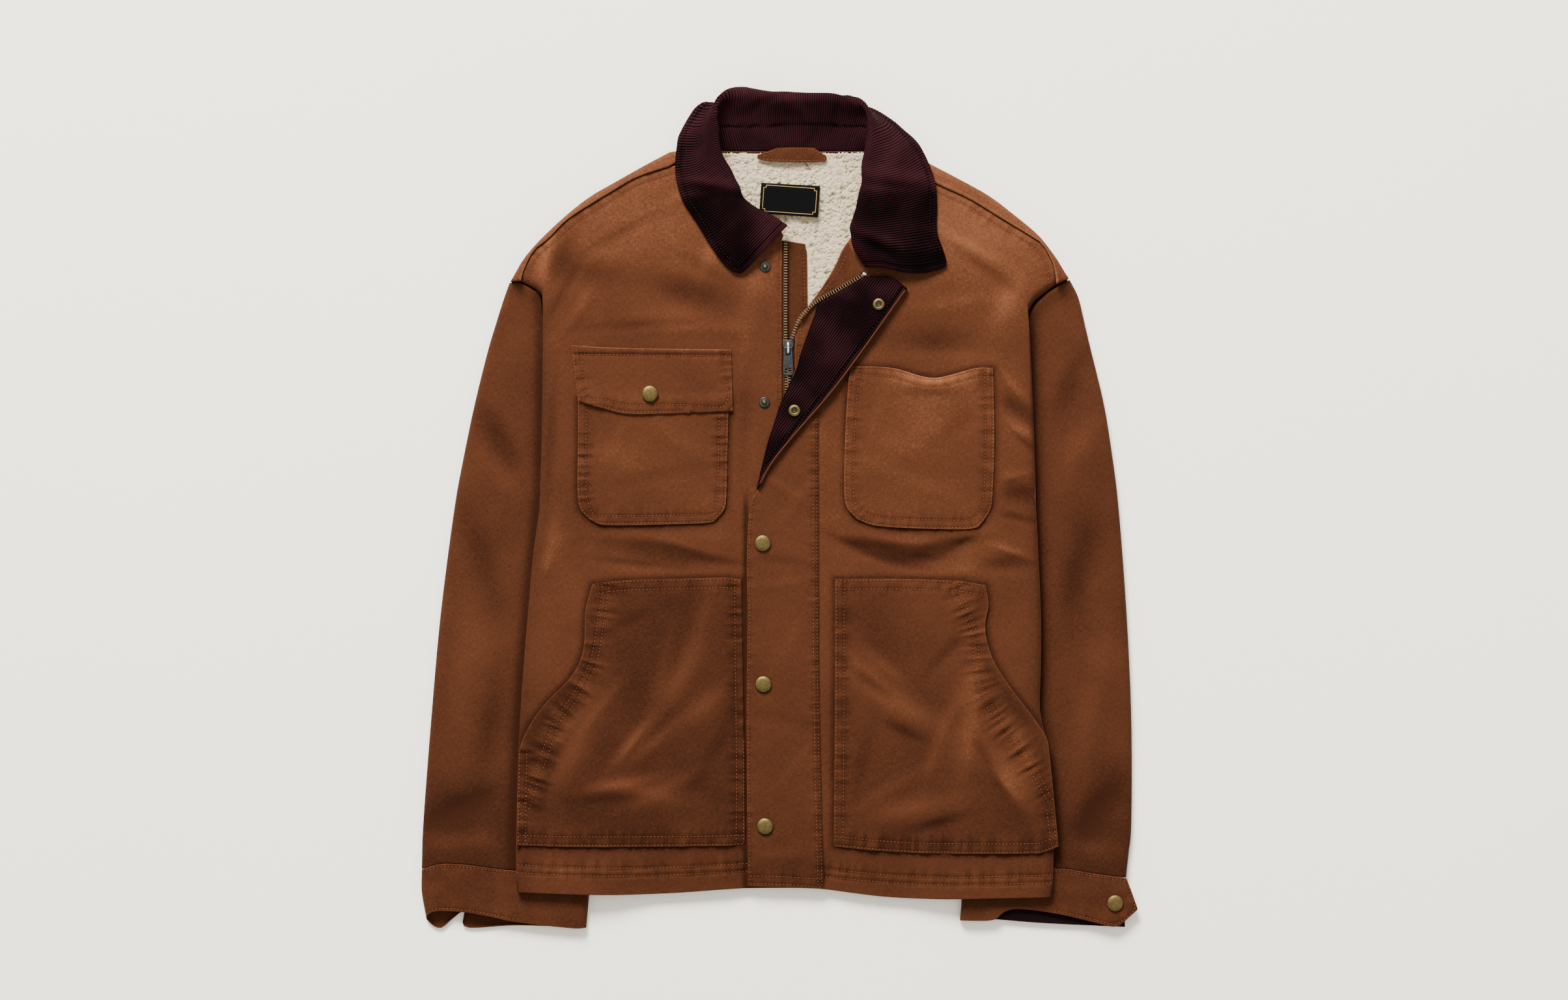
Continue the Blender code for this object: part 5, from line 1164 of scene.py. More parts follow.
def buildBack():
    across = edgeShares(60, 540, rim=(0.5, 1.5, 3, 6, 10, 20))
    up = np.concatenate([np.linspace(0, 0.56, 30), [0.59, 0.62, 0.65, 0.68, 0.71], np.linspace(0.74, 1.0, 24)])
    neckFrom, neckTo = 0.36, 0.64
    hem = [(x, y + 1.5) for x, y in rightHem[:-1]] + [(x, y + 1.5) for x, y in leftHem[1:]]
    lowerRight = [point for point in rightSide if point[1] < 20]
    lowerLeft = [point for point in leftSide if point[1] < 20]
    holeRight = alongside(armholeRight[::-1], -0.35)
    holeLeft = alongside(armholeLeft[::-1], 0.35)
    outline = joinLines([(neckFrom, shoulderRight), (0.41, [(-100, 343), (-62, 341)]),
                         (0.59, [(-62, 341), (15, 341), (90, 341)]), (neckTo, [(90, 341), (120, 343)]),
                         (1.0, shoulderLeft)], across)
    seam = joinLines([(neckFrom, [point for point in rightSeam if point[0] < -99]), (0.41, [(-100, 327), (-62, 341)]),
                      (0.59, [(-62, 341), (15, 341), (90, 341)]), (neckTo, [(90, 341), (118, 325)]),
                      (1.0, [point for point in leftSeam[::-1] if point[0] > 117])], across)
    outward = outline - [15, 60]
    outward /= np.linalg.norm(outward, axis=1)[:, None]
    top = outline - 8.0 * outward
    top[0] = holeRight[-1] + [2.5, -1.6]
    top[-1] = holeLeft[-1] + [-1.5, -1.0]
    straight = top[0] + (top[-1] - top[0]) * across[:, None]
    plan = coonsPatch(alongLine(hem, across), straight,
                      joinLines([(0.56, lowerRight), (0.62, [(-228, 0), (-226.5, 38)]),
                                 (0.68, [(-226.5, 38), (-164, 54)]), (1.0, holeRight)], up),
                      joinLines([(0.56, lowerLeft), (0.62, [(244.5, 0), (243.5, 38)]),
                                 (0.68, [(243.5, 38), (174, 54)]), (1.0, holeLeft)], up), across, up)
    plan = plan + (top - straight)[None] * smoothStep(up, 0.68, 1.0)[:, None, None]
    x, y = plan[..., 0], plan[..., 1]
    wing = smoothStep(np.abs(x - 5), 104, 138) * (1 - smoothStep(y, 90, 124))
    height = (layers["sleeveTop"] + 0.6) * wing
    below = frontBeneath(x, y) - 4.0
    height = np.where(y < -330, np.minimum(height, below), height)
    height = height + neckRise(x, y)
    belowArm = y[:, :1] < 45
    for column in (0, -1):
        rise = turnedEdge(plan, column, 7.0) * (layers["sideSeam"] - height[:, column][:, None])
        height = height + np.where(belowArm, rise, 0)
    rows = list(withHeight(plan, height))
    atNeck = smoothStep(across, neckFrom - 0.01, 0.41) * (1 - smoothStep(across, 0.59, neckTo + 0.01))
    seamHeight = frontBeneath(seam[:, 0], seam[:, 1]) - 0.2
    away = outline - seam
    away /= np.maximum(np.linalg.norm(away, axis=1), 0.1)[:, None]
    seam = seam + 0.6 * away
    base = rows[-1]
    noise = crumple(outline[:, 0], outline[:, 1], 90) * 0.5
    for angle in np.radians(np.concatenate([np.linspace(12, 84, 7), np.linspace(92, 180, 22)])):
        start, share = (seam, math.sin(angle)) if angle > math.pi / 2 else (base[:, :2], math.sin(angle))
        flat = start + (outline - start) * share
        rolled = 0.5 * seamHeight * (1 - math.cos(angle))
        if angle > math.pi / 2:
            behind = np.linalg.norm(flat - seam, axis=1)
            rolled = rolled + noise * min(1, 3 * share) - 0.55 * bell(behind - 6.5, 1.0) * (1 - atNeck)
            rolled = rolled - 0.5 * bell(behind, 0.9)
        lifted = base[:, 2] + (layers["backNeck"] - base[:, 2]) * angle / math.pi
        neckFlat = base[:, :2] + (outline - base[:, :2]) * angle / math.pi
        mix = atNeck[:, None]
        rows.append(np.column_stack([flat * (1 - mix) + neckFlat * mix, rolled * (1 - atNeck) + lifted * atNeck]))
    points = np.array(rows)
    x, y = points[..., 0], points[..., 1]
    # tone: painted light falloff, random mottling and a pale rubbed outer edge
    wear = lightFalloff(y) + 0.3 * crumple(x, y, 90) + 0.1 * softNoise(x, y, 40, 17)
    wear[-1] += 0.5
    piece = clothPiece("back_cloth", points, canvas, 1.9, faceDown=True, wear=wear, turnIn=3)
    settle(piece, "jacket", ["back"])
    rows = [{"line": [tuple(p) for p in alongside(seam[(across > low) & (across < high)][::3], 5.6)]}
            for low, high in ((0.03, 0.352), (0.648, 0.97))]
    layCloth(plan, sewStitches("back", piece, rows))


buildBack()
print("back ready")


# ---- pile lining, seen in the neck

liningLook = {"lump": 5.0, "rise": 3.4, "curl": 2.5}


def cellBumps(x, y, size, seed):
    # round lumps side by side: the distance to the nearest of many jittered middles
    table = np.random.RandomState(seed).uniform(0, 1, (2, 64, 64))
    u, v = x / size, y / size
    i, j = np.floor(u).astype(int), np.floor(v).astype(int)
    nearest = np.full(x.shape, 9.0)
    for di in (-1, 0, 1):
        for dj in (-1, 0, 1):
            ci, cj = i + di, j + dj
            gap = np.hypot(ci + table[0, ci & 63, cj & 63] - u, cj + table[1, ci & 63, cj & 63] - v)
            nearest = np.minimum(nearest, gap)
    return np.sqrt(np.clip(1 - (nearest / 0.85)**2, 0, 1))


across = np.concatenate([np.linspace(0, 0.18, 6)[:-1], np.linspace(0.18, 0.82, 200), np.linspace(0.82, 1, 6)[1:]])
up = np.concatenate([np.linspace(0, 0.66, 16)[:-1], np.linspace(0.66, 1, 235)])
plan = panelPlan([(-92, -305), (0, -305), (102, -305)], [(-56, 339), (82, 339)],
                 [(-92, -305), (-92, -100), (-92, 80), (-150, 190), (-108, 290), (-56, 339)],
                 [(102, -305), (102, -100), (102, 80), (160, 190), (132, 290), (82, 339)], across, up)
x, y = plan[..., 0], plan[..., 1]
height = layers["lining"] - 3.3 * smoothStep(-np.abs(x - 13), -50, -22) * smoothStep(-y, -305, -272)
height = height - 1.6 * smoothStep(y, 300, 338)
height = np.maximum(height, neckRise(x, y) + 3.4)
warpX = x + 2.2 * softNoise(x, y, 7, 61) + 1.2 * softNoise(x, y, 3, 62)
warpY = y + 2.2 * softNoise(x, y, 7, 63) + 1.2 * softNoise(x, y, 3, 64)
lumps = (0.68 * cellBumps(warpX, warpY, liningLook["lump"], 5)
         + 0.32 * cellBumps(warpY, warpX, liningLook["curl"], 6))
seen = smoothStep(y, 96, 130) * (1 - 0.8 * smoothStep(-np.abs(x - 16), -15, -11) * smoothStep(-y, -262, -256))
flow = softNoise(x, y, 26, 66)
height = height + seen * (liningLook["rise"] * (lumps - 0.75) + 1.2 * flow)
# the lumps also set the tone: painted shade in the hollows between them
liningPiece = layPanel("lining", plan, height, pile, "pile", ["back"], part="_pile", wall=1.5, wear=lumps, turnIn=1)
print("lining ready")


# ---- curls of pile that stand up from the lining

curlLook = {"size": (1.5, 2.5), "sink": 0.4, "seed": 12, "tries": 5600, "trySeed": 44}


def growCurls(name, spots, finish):
    curl = bmesh.new()
    bmesh.ops.create_icosphere(curl, subdivisions=1, radius=1.0)
    tree, chance, places = treeOf(liningPiece), np.random.RandomState(curlLook["seed"]), []
    for px, py in spots:
        spot = plumb(tree, px, py)[0]
        radius = chance.uniform(*curlLook["size"])
        stretch = Vector((radius * chance.uniform(0.8, 1.25), radius * chance.uniform(0.6, 0.9), radius * 0.7)) * mm
        angle = chance.uniform(0, math.pi)
        if spot is None:
            continue
        places.append(Matrix.Translation(spot - Vector((0, 0, curlLook["sink"] * radius * mm)))
                      @ Matrix.Rotation(angle, 4, "Z") @ Matrix.Rotation(chance.uniform(-0.5, 0.5), 4, "X")
                      @ Matrix.Diagonal((*stretch, 1)))
    piece = repeatShape(name, curl, places, finish)
    values = chance.uniform(0.55, 1.0, len(piece.data.vertices) // 12).repeat(12)
    piece.data.attributes.new("wear", "FLOAT", "POINT").data.foreach_set("value", values)
    return settle(piece, "jacket")


pick = np.random.RandomState(curlLook["trySeed"])
spots = []
for px, py in pick.uniform((-62, 172), (92, 342), (curlLook["tries"], 2)):
    inside = -58 + max(0, 300 - py) * 0.55 < px < 88 and py > 176
    nearLabel = -21 < px < 41 and 280.5 < py < 311
    onStrip = 3 < px < 29 and py < 259
    if inside and not nearLabel and not onStrip:
        spots.append((px, py))
growCurls("lining_curls", spots, pile)
print("curls ready")


# ---- pockets

# paintedPocketShade: painted shade over a whole pocket, taken off its tone (a negative value lightens)
pocketLook = {"paintedPocketShade": {"lower_pocket_right": 0.42, "lower_pocket_left": 0.22, "chest_pocket_left": -0.16},
              "wall": 1.7, "crumple": 0.5, "clear": 2.25,
              "seeds": {"chest_pocket_right": 51, "chest_pocket_left": 57, "lower_pocket_right": 62,
                        "lower_pocket_left": 68}}
pocketCreases = {
    "chest_pocket_right": [(-120, 30, 12, 50, 7, -0.5), (-90, 60, -30, 34, 8, 0.5), (-150, 70, 60, 30, 7, 0.4)],
    "chest_pocket_left": [(120, 30, -20, 50, 8, 0.5), (160, 70, 40, 40, 8, -0.5), (95, 90, 70, 36, 7, 0.5)],
    "lower_pocket_right": [
        (-140, -222, 52, 26, 5, 2.2), (-118, -214, 46, 30, 6, -2.0), (-150, -262, 10, 34, 6, 1.6),
        (-150, -276, 4, 30, 6, -1.5), (-70, -100, 70, 50, 8, 0.9), (-150, -110, 24, 30, 6, -0.8),
        (-205, -215, 50, 40, 6, 1.4), (-220, -255, 76, 34, 6, -1.2), (-95, -260, 30, 40, 7, 0.9),
        (-60, -230, 60, 40, 7, -0.8), (-110, -150, 76, 40, 7, 1.0), (-170, -190, 50, 34, 6, 1.2)],
    "lower_pocket_left": [
        (86, -166, -38, 24, 5, -1.7), (100, -150, -40, 26, 6, 1.3), (118, -212, -26, 20, 5, -1.6),
        (200, -246, -62, 28, 5, -1.9), (214, -262, -50, 30, 5, 1.7), (150, -300, 16, 24, 5, -1.5),
        (162, -134, 48, 30, 6, -1.2), (150, -230, 70, 40, 7, 1.1), (100, -270, 30, 40, 7, 0.9),
        (180, -170, 60, 40, 7, 1.0), (232, -230, -60, 30, 6, 1.4), (80, -240, 76, 40, 7, -0.8)],
}


def pocketTop(name, x, y):
    facts = pockets[name]
    side = facts["front"].split("_")[1]
    return (frontTop(x, y, side) + pocketLook["clear"] + foldHeight(x, y, facts["folds"])
            + foldHeight(x, y, pocketCreases[name]))


for name, lines in pockets.items():
    big = name.startswith("lower")
    columns = edgeShares(128, 190) if big else edgeShares(96, 138)
    rows = edgeShares(158, 250) if big else edgeShares(104, 140)
    plan = panelPlan(lines["lower"], lines["upper"], lines["left"], lines["right"], columns, rows)
    x, y = plan[..., 0], plan[..., 1]
    side = lines["front"].split("_")[1]
    rim = rimDistance(plan)
    mouth = awayFrom(plan, plan[-1:])
    sewn = np.min([awayFrom(plan, edge) for edge in (plan[:, :1], plan[:, -1:], plan[:1])], axis=0)
    gather = smoothStep(sewn, 4, 22)
    openMouth = name == "chest_pocket_left"
    dent = 0
    own = foldHeight(x, y, lines["folds"]) + foldHeight(x, y, pocketCreases[name])
    if openMouth:
        own = own + 1.6 * bell(x - 147, 30) * smoothStep(-mouth, -16, 0)
        # painted shade of a dent below the open mouth; only the tone changes
        dent = 0.8 * np.exp(-((x - 145) / 28)**2 - ((y - 113) / 7)**2)
    relief, rubbedAndPaintedLight = sewnRelief(x, y, allRows(name))
    small = crumple(x, y, pocketLook["seeds"][name]) * pocketLook["crumple"]
    height = (frontTop(x, y, side) + pocketLook["clear"] + 1.25 * own * gather + relief
              + small * np.minimum(1, rim / 8))
    # tone: painted light falloff, each pocket's own painted shade, stitching with its rubbing and painted groove
    # shade, painted shading on crumples and folds (tops lighter, hollows darker), pale rubbed rims, random variation,
    # the painted dent shade and a painted shade band inside the sewn edges
    wear = (lightFalloff(y) - pocketLook["paintedPocketShade"].get(name, 0) + rubbedAndPaintedLight + 0.34 * small + 0.28 * own * gather
            + 0.14 * softNoise(x, y, 45, 71) + 0.75 * bell(rim, 0.8) - dent - 0.18 * bell(sewn - 9, 5))
    layPanel(name, plan, height, canvas, "canvas", [lines["front"]], allRows(name), wall=pocketLook["wall"],
             wear=wear, turnIn=6)

name = "chest_pocket_flap"
columns, rows = edgeShares(100, 148), edgeShares(40, 58)
plan = panelPlan([(-190.5, 103), (-168, 96.5), (-144, 91), (-100, 91.5), (-44, 93.6)],
                 [(-197.5, 156), (-150, 153.5), (-45.7, 152)], [(-190.5, 103), (-197.5, 156)],
                 [(-44, 93.6), (-45.7, 152)], columns, rows)
x, y = plan[..., 0], plan[..., 1]
flapFolds = [(-182, 100, 0, 26, 18, 3.0), (-100, 96, 0, 60, 12, 0.8), (-150, 104, 12, 30, 8, 0.6),
             (-80, 120, -20, 30, 8, -0.4)]
overPocket = smoothStep(-y, -112, -102) * smoothStep(np.minimum(x + 194, -46 - x), -2, 6)
height = frontTop(x, y, "right") + 2.25 + foldHeight(x, y, flapFolds)
onTop = pocketTop("chest_pocket_right", x, y) + 2.25
height = np.maximum(height, height * (1 - overPocket) + onTop * overPocket)
relief, rubbedAndPaintedLight = sewnRelief(x, y, allRows(name))
small = crumple(x, y, 88) * 0.45
height = height + 0.7 + relief + small + 0.7 * smoothStep(y, 148, 150)
# tone: painted light falloff, stitching with its rubbing and painted groove shade, painted shading on the crumples,
# pale rubbed rims, random variation and a painted shade line along the top row of stitching
wear = (lightFalloff(y) + rubbedAndPaintedLight + 0.34 * small + 0.7 * bell(rimDistance(plan), 0.8) + 0.12 * softNoise(x, y, 40, 72)
        - 0.3 * bell(y - 147.5, 1.6))
layPanel(name, plan, height, canvas, "canvas", ["front_right", "chest_pocket_right"], allRows(name), wall=1.8,
         wear=wear, turnIn=6)
print("pockets ready")


# ---- storm flap over the zip: closed below, turned back above

flapCreases = [
    (5, 20, -30, 30, 5, 0.8), (10, 70, 70, 40, 5, -0.6), (0, -50, -8, 26, 5, -0.8), (8, -70, 6, 30, 5, 0.7),
    (14, -120, 60, 30, 6, 0.5), (4, -200, -12, 30, 6, -0.5), (12, -250, 50, 34, 6, 0.6),
    (2, -330, 0, 26, 5, 0.5), (20, 10, 50, 34, 6, 0.7), (24, 120, 76, 40, 4, -0.5)]


farBelow = 30.0
flapCaps = [(-15.6, -32), (-15, -166), (-13.5, -301)]


def flapLevel(x, y):
    # over whichever front lies beneath; beyond its own edge a front counts as far below
    base = layers["flap"] - layers["hemDrop"] * smoothStep(-y, 325, 368)
    under = np.maximum(frontTop(x, y, "right") - farBelow * smoothStep(x, 3, 9),
                       frontTop(x, y, "left") - farBelow * smoothStep(-x, -14, -8))
    return np.maximum(base, under + 2.2)


name = "storm_flap"
columns, rows = edgeShares(44, 66), edgeShares(330, 530)
plan = betweenLines(flapEdge, flapSeam, columns, rows)
x, y = plan[..., 0], plan[..., 1]
relief, rubbedAndPaintedLight = sewnRelief(x, y, allRows(name))
small = crumple(x, y, 101) * 0.42
rim = rimDistance(plan)
height = flapLevel(x, y) + relief + (small + foldHeight(x, y, flapCreases)) * np.minimum(1, rim / 7)
for capX, capY in flapCaps:
    height = height - 0.7 * bell(np.hypot(x - capX, y - capY), 9)
seamDip = awayFrom(plan, plan[:, -1:])
height = height - 1.2 * bell(seamDip, 1.6)
# tone: stitching with its rubbing and painted groove shade, painted shading on crumples and creases, painted light
# falloff, pale rubbed rims and painted shade along the sewn side
wear = (rubbedAndPaintedLight + 0.34 * small + 0.2 * foldHeight(x, y, flapCreases) + lightFalloff(y) - 0.04 + 0.45 * bell(rim, 0.8)
        - 0.5 * bell(seamDip, 3.0))
layPanel(name, plan, height, canvas, "canvas", ["front_right", "front_left"], allRows(name), wall=1.8, wear=wear,
         turnIn=6)

# facing of the left front's turned edge
rows, columns = edgeShares(60, 90), edgeShares(20, 22)
plan = betweenLines([(20.5, 181), (29.5, 193.5), (37.5, 206.5), (45.6, 218.5), (53.6, 231.5), (61, 247.5),
                     (65.5, 254)],
                    [(22.5, 180.5), (29.5, 189), (38.5, 200), (53, 208.5), (68, 217.5), (76, 223), (79, 226)],
                    columns, rows)
x, y = plan[..., 0], plan[..., 1]
height = np.maximum(17.6, frontTop(x, y, "left") + 1.9) + 0.25 * crumple(x, y, 7)
wear = 0.3 * softNoise(x, y, 12, 9) + 0.5 * bell(rimDistance(plan), 0.9) - 0.15
facingRow = [(24, 183), (31, 192.5), (39.5, 204), (48, 214.5), (56, 226), (63.5, 241)]
layPanel("facing_left", plan, height, canvas, "canvas", ["front_left"], [{"line": facingRow}], wall=1.3, wear=wear,
         grain=40, turnIn=5)

# the turned part, corduroy side up, with a canvas piping along its free edge
wale = {"pitch": 2.2, "rise": 0.62, "collarCount": 205}


def ribProfile(run, pitch):
    return np.abs(np.sin(math.pi * run / pitch))**0.55


name = "flap_facing"
turnedFolds = [(60, 150, 52, 60, 9, 0.9), (80, 190, 50, 40, 7, -0.7), (30, 110, 58, 40, 6, 0.6)]
columns, rows = edgeShares(150, 62, rim=(0.3, 0.7, 1.2, 1.9)), edgeShares(150, 250)
leftLine, rightLine = alongLine(turnLine, rows), alongLine(turnedFree, rows)
plan = coonsPatch(alongLine([leftLine[0], rightLine[0]], columns), alongLine(turnedTop, columns), leftLine, rightLine,
                  columns, rows)
x, y = plan[..., 0], plan[..., 1]
onPocket = smoothStep(x, 60, 66) * smoothStep(-y, -142, -136)
beneath = np.maximum(flapLevel(x, y) - farBelow * smoothStep(x, 39, 43), frontTop(x, y, "left"))
beneath = np.maximum(beneath, pocketTop("chest_pocket_left", x, y) * onPocket)
level = np.maximum(layers["turnedFlap"] - 0.2, beneath + 3.8)
level = level - turnedEdge(plan, 0, 4.5) * 5.0 + foldHeight(x, y, turnedFolds)
angle = math.radians(54)
skew = (y - 20) * math.cos(angle) - (x + 18) * math.sin(angle)
free = awayFrom(plan, plan[:, -1:])
rib = ribProfile(skew + 0.25 * softNoise(x, y, 14, 3), wale["pitch"])
flat = 1 - bell(free - 5.5, 0.9)
height = level + wale["rise"] * (rib * flat - 1) + 0.3 * crumple(x, y, 5)
# tone: rib tops lighter and painted shade in the valleys between ribs, random variation, darker along its edges
wear = 1.15 * rib * flat - 0.38 + 0.18 * softNoise(x, y, 16, 6) - 0.25 * bell(rimDistance(plan), 1.5)
edgeRow = [tuple(point) for point in alongside(smoothLine(turnedFree, 10), 5.5)]
darkThread = makeThread("dark_thread", (0.004, 0.0011, 0.0015), (0.024, 0.007, 0.009))
facingPiece = layPanel(name, plan, height, corduroy, "corduroy", ["storm_flap", "front_left", "chest_pocket_left"],
                       [{"line": edgeRow}], sewnWith=darkThread, wall=3.0, wear=wear, grain=54, turnIn=5)


def sweepRing(count, ringAt, sides):
    # a small ring extruded from place to place; ringAt gives its middle and its two half axes
    bm = bmesh.new()
    order = bm.verts.layers.int.new("order")
    ring = bmesh.ops.create_circle(bm, cap_ends=False, segments=sides, radius=1.0)["verts"]
    local = [vert.co.copy() for vert in ring]
    for number, vert in enumerate(ring):
        vert[order] = number
    edges = list({edge for vert in ring for edge in vert.link_edges})
    for number in range(count):
        if number:
            made = bmesh.ops.extrude_edge_only(bm, edges=edges)["geom"]
            ring = sorted(ofKind(made, bmesh.types.BMVert), key=lambda vert: vert[order])
            edges = [edge for edge in ofKind(made, bmesh.types.BMEdge)
                     if edge.verts[0] in ring and edge.verts[1] in ring]
        middle, sideways, upwards = ringAt(number)
        for vert, spot in zip(ring, local):
            vert.co = middle + sideways * spot.x + upwards * spot.y
    bmesh.ops.holes_fill(bm, edges=[edge for edge in bm.edges if edge.is_boundary], sides=0)
    bmesh.ops.recalc_face_normals(bm, faces=bm.faces)
    toPlace(bm)
    return bm


def pipeAlong(name, line, heights, radius, finish, flatten=1.0, sides=10):
    # a cord of cloth or thread along a line
    ahead = np.gradient(line, axis=0)

    def ringAt(number):
        direction = Vector((*ahead[number], 0)).normalized()
        sideways = Vector((-direction.y, direction.x, 0)) * radius
        return Vector((*line[number], heights[number])), sideways, Vector((0, 0, radius * flatten))

    return settle(bmeshPiece(name, sweepRing(len(line), ringAt, sides), finish), "jacket")


def levelOver(carrier, line, above):
    tree = treeOf(carrier)
    found, last = [], 0.02
    for px, py in line:
        spot = plumb(tree, px, py)[0]
        last = spot.z if spot is not None else last
        found.append(last / mm + above)
    return np.array(found)


line = alongside(smoothLine(turnedFree, 3.0), 0.9)[1:-1]
pipeAlong("flap_piping", line, levelOver(facingPiece, line, -0.15), 0.95, canvas)
print("flap ready")


# ---- collar

# "rollPart" and "lastPart" count the profile's points: the roll line and the outer edge
collarLook = {"columns": 1180, "rows": 46, "wall": 3.0, "clear": 3.6, "rollPart": 5.5, "lastPart": 14, "sewnIn": 6.0}


def heightUnder(trees, x, y, reach):
    # highest point of the pieces within reach of a place, or None beside them
    highest = None
    ring = [(0, 0)] + [(reach * math.cos(k * math.tau / 8), reach * math.sin(k * math.tau / 8)) for k in range(8)]
    for tree in trees:
        for stepX, stepY in ring:
            hit = plumb(tree, x + stepX, y + stepY)[0]
            if hit is not None and (highest is None or hit.z / mm > highest):
                highest = hit.z / mm
    return highest


def laidOn(points, trees, clearance, reach=6.0):
    rested = points.copy()
    for index in np.ndindex(points.shape[:2]):
        x, y, z = points[index]
        below = heightUnder(trees, x, y, reach)
        if below is not None:
            rested[index][2] = max(z, below + clearance)
    return rested


def splineSample(values, t):
    # smooth values between evenly counted ones, along the first axis
    t = np.clip(np.asarray(t, float), 0, len(values) - 1)
    i = np.minimum(t.astype(int), len(values) - 2)
    f = (t - i).reshape((-1,) + (1,) * (values.ndim - 1))
    before, start = values[np.maximum(i - 1, 0)], values[i]
    end, after = values[i + 1], values[np.minimum(i + 2, len(values) - 1)]
    return 0.5 * (2 * start + (end - before) * f + (2 * before - 5 * start + 4 * end - after) * f**2
                  + (3 * start - before - 3 * end + after) * f**3)


def collarForm():
    # neck seam, stand, roll line and fall, one profile at each station, laid on what is below
    stations = []
    for neckX, neckY, neckZ, rollX, rollY, rollZ, edgeX, edgeY, edgeZ, direction, lean in collarStations:
        neck, roll = np.array([neckX, neckY, neckZ], float), np.array([rollX, rollY, rollZ], float)
        edge = np.array([edgeX, edgeY, edgeZ], float)
        outward = np.array([math.cos(math.radians(direction)), math.sin(math.radians(direction)), 0])
        lift = np.array([0, 0, 1.0])
        folded = [neck, roll + outward * 2.0 - lift * 5, roll, roll + outward * 6 + lift * 4.5,
                  (roll + edge) / 2 + outward * 3 + lift * 4, edge]
        laid = [neck, (neck + roll) / 2 - lift * 0.5, roll - outward * 7 + lift * 4, roll - lift * 4,
                roll - outward * 10 - lift * (rollZ - 2.2), edge]
        stations.append([a * (1 - lean) + b * lean for a, b in zip(folded, laid)])
    stations = np.array(stations)
    count = 52
    lines = np.array([alongLine(stations[:, part], np.linspace(0, 1, count)) for part in range(6)])
    profile = np.linspace(0, 1, 15)
    points = np.array([alongLine(lines[:, column], profile) for column in range(count)]).transpose(1, 0, 2)
    points[..., 2] = np.maximum(points[..., 2], 0.6)
    below = [treeOf(bpy.data.objects[f"{node}_cloth"])
             for node in ("front_right", "front_left", "back", "facing_left", "flap_facing")]
    atNeck = laidOn(points[:4], below, 1.2, 4.0)
    fall = laidOn(points[5:], below, collarLook["clear"], 5.0)
    behind = points[5:, :, 1] > 344
    fall = np.where((behind & (points[5:, :, 2] < 8))[..., None], points[5:], fall)
    points[:4] = np.where(points[:4, :, 1:2] > 341.2, points[:4], atNeck)
    points[5:] = fall
    return points


coarse = collarForm()
rollRow = splineSample(coarse, [collarLook["rollPart"]])[0]
reach = travelled(rollRow)
even = np.interp(np.linspace(0, reach[-1], collarLook["columns"]), reach, np.arange(len(reach)))
rim = np.array([0.02, 0.05, 0.1, 0.18, 0.3])
lastPart = collarLook["lastPart"]
upRows = np.concatenate([[0], rim[:-1], np.linspace(rim[-1], lastPart - rim[-1], collarLook["rows"]),
                         lastPart - rim[:-1][::-1], [lastPart]])
points = splineSample(splineSample(coarse, upRows).transpose(1, 0, 2), even).transpose(1, 0, 2)
normals = np.cross(np.gradient(points, axis=1), np.gradient(points, axis=0))
normals /= np.maximum(np.linalg.norm(normals, axis=2), 1e-9)[..., None]
across = np.linspace(0, 1, collarLook["columns"])[None, :] * np.ones((len(upRows), 1))
down = (upRows / lastPart)[:, None] * np.ones((1, collarLook["columns"]))
x, y = points[..., 0], points[..., 1]
lengthwise = np.linspace(0, reach[-1], collarLook["columns"])[None, :] + 0 * x
rib = ribProfile(across * wale["collarCount"] + 0.12 * softNoise(x, y, 22, 31), 1.0)
steps = np.linalg.norm(np.diff(points, axis=0), axis=2)
fromNeck = np.vstack([np.zeros((1, points.shape[1])), np.cumsum(steps, axis=0)])
fromEdge = fromNeck[-1:] - fromNeck
endLeft, endRight = awayFrom(points, points[:, :1]), awayFrom(points, points[:, -1:])
edgeSeam = np.minimum(np.minimum(fromEdge, endLeft), endRight)
groove = bell(edgeSeam - collarLook["sewnIn"], 0.9)
flat = 1 - 0.35 * groove
ripple = softNoise(lengthwise, fromEdge * 0.4, 5.0, 12) * bell(edgeSeam - collarLook["sewnIn"], 5.0)
standSeam = bell(fromNeck - 25, 1.0) * smoothStep(y, 352, 358)
soft = 0.9 * softNoise(x, y, 34, 52) + 0.5 * softNoise(x, y, 15, 53)
soft = soft + foldHeight(x, y, [(-66, 302, -8, 34, 5, -1.5), (-66, 310, -8, 34, 5, 1.4), (-50, 262, 44, 36, 8, 0.9),
                                (112, 306, -7, 36, 5, -1.7), (112, 317, -7, 40, 7, 1.0), (92, 250, -22, 26, 4, -1.9),
                                (96, 258, -20, 30, 5, 1.4), (128, 244, -8, 30, 5, -1.2), (120, 268, 4, 40, 8, 0.9),
                                (-20, 384, 30, 20, 6, -1.0), (20, 380, -40, 26, 6, 1.0), (56, 384, 70, 20, 6, -1.1),
                                (106, 334, 60, 30, 9, 0.8), (-80, 345, 20, 20, 6, -0.8), (30, 352, 60, 16, 4, -0.8)])
# painted shade below the collar's creases near both ends, used only in the tone
inShade = np.maximum(smoothStep(307 - 0.03 * (x - 90) - y, 0, 9) * smoothStep(x, 60, 90),
                     smoothStep(304 + 0.12 * (x + 66) - y, 0, 9) * smoothStep(-x, 10, 40))
quiet = np.minimum(1, edgeSeam / 6) * np.minimum(1, fromNeck / 8)
offset = wale["rise"] * (rib * flat - 1) + soft * quiet + 0.35 * ripple - 0.34 * groove - 0.9 * standSeam
points = points + normals * offset[..., None]
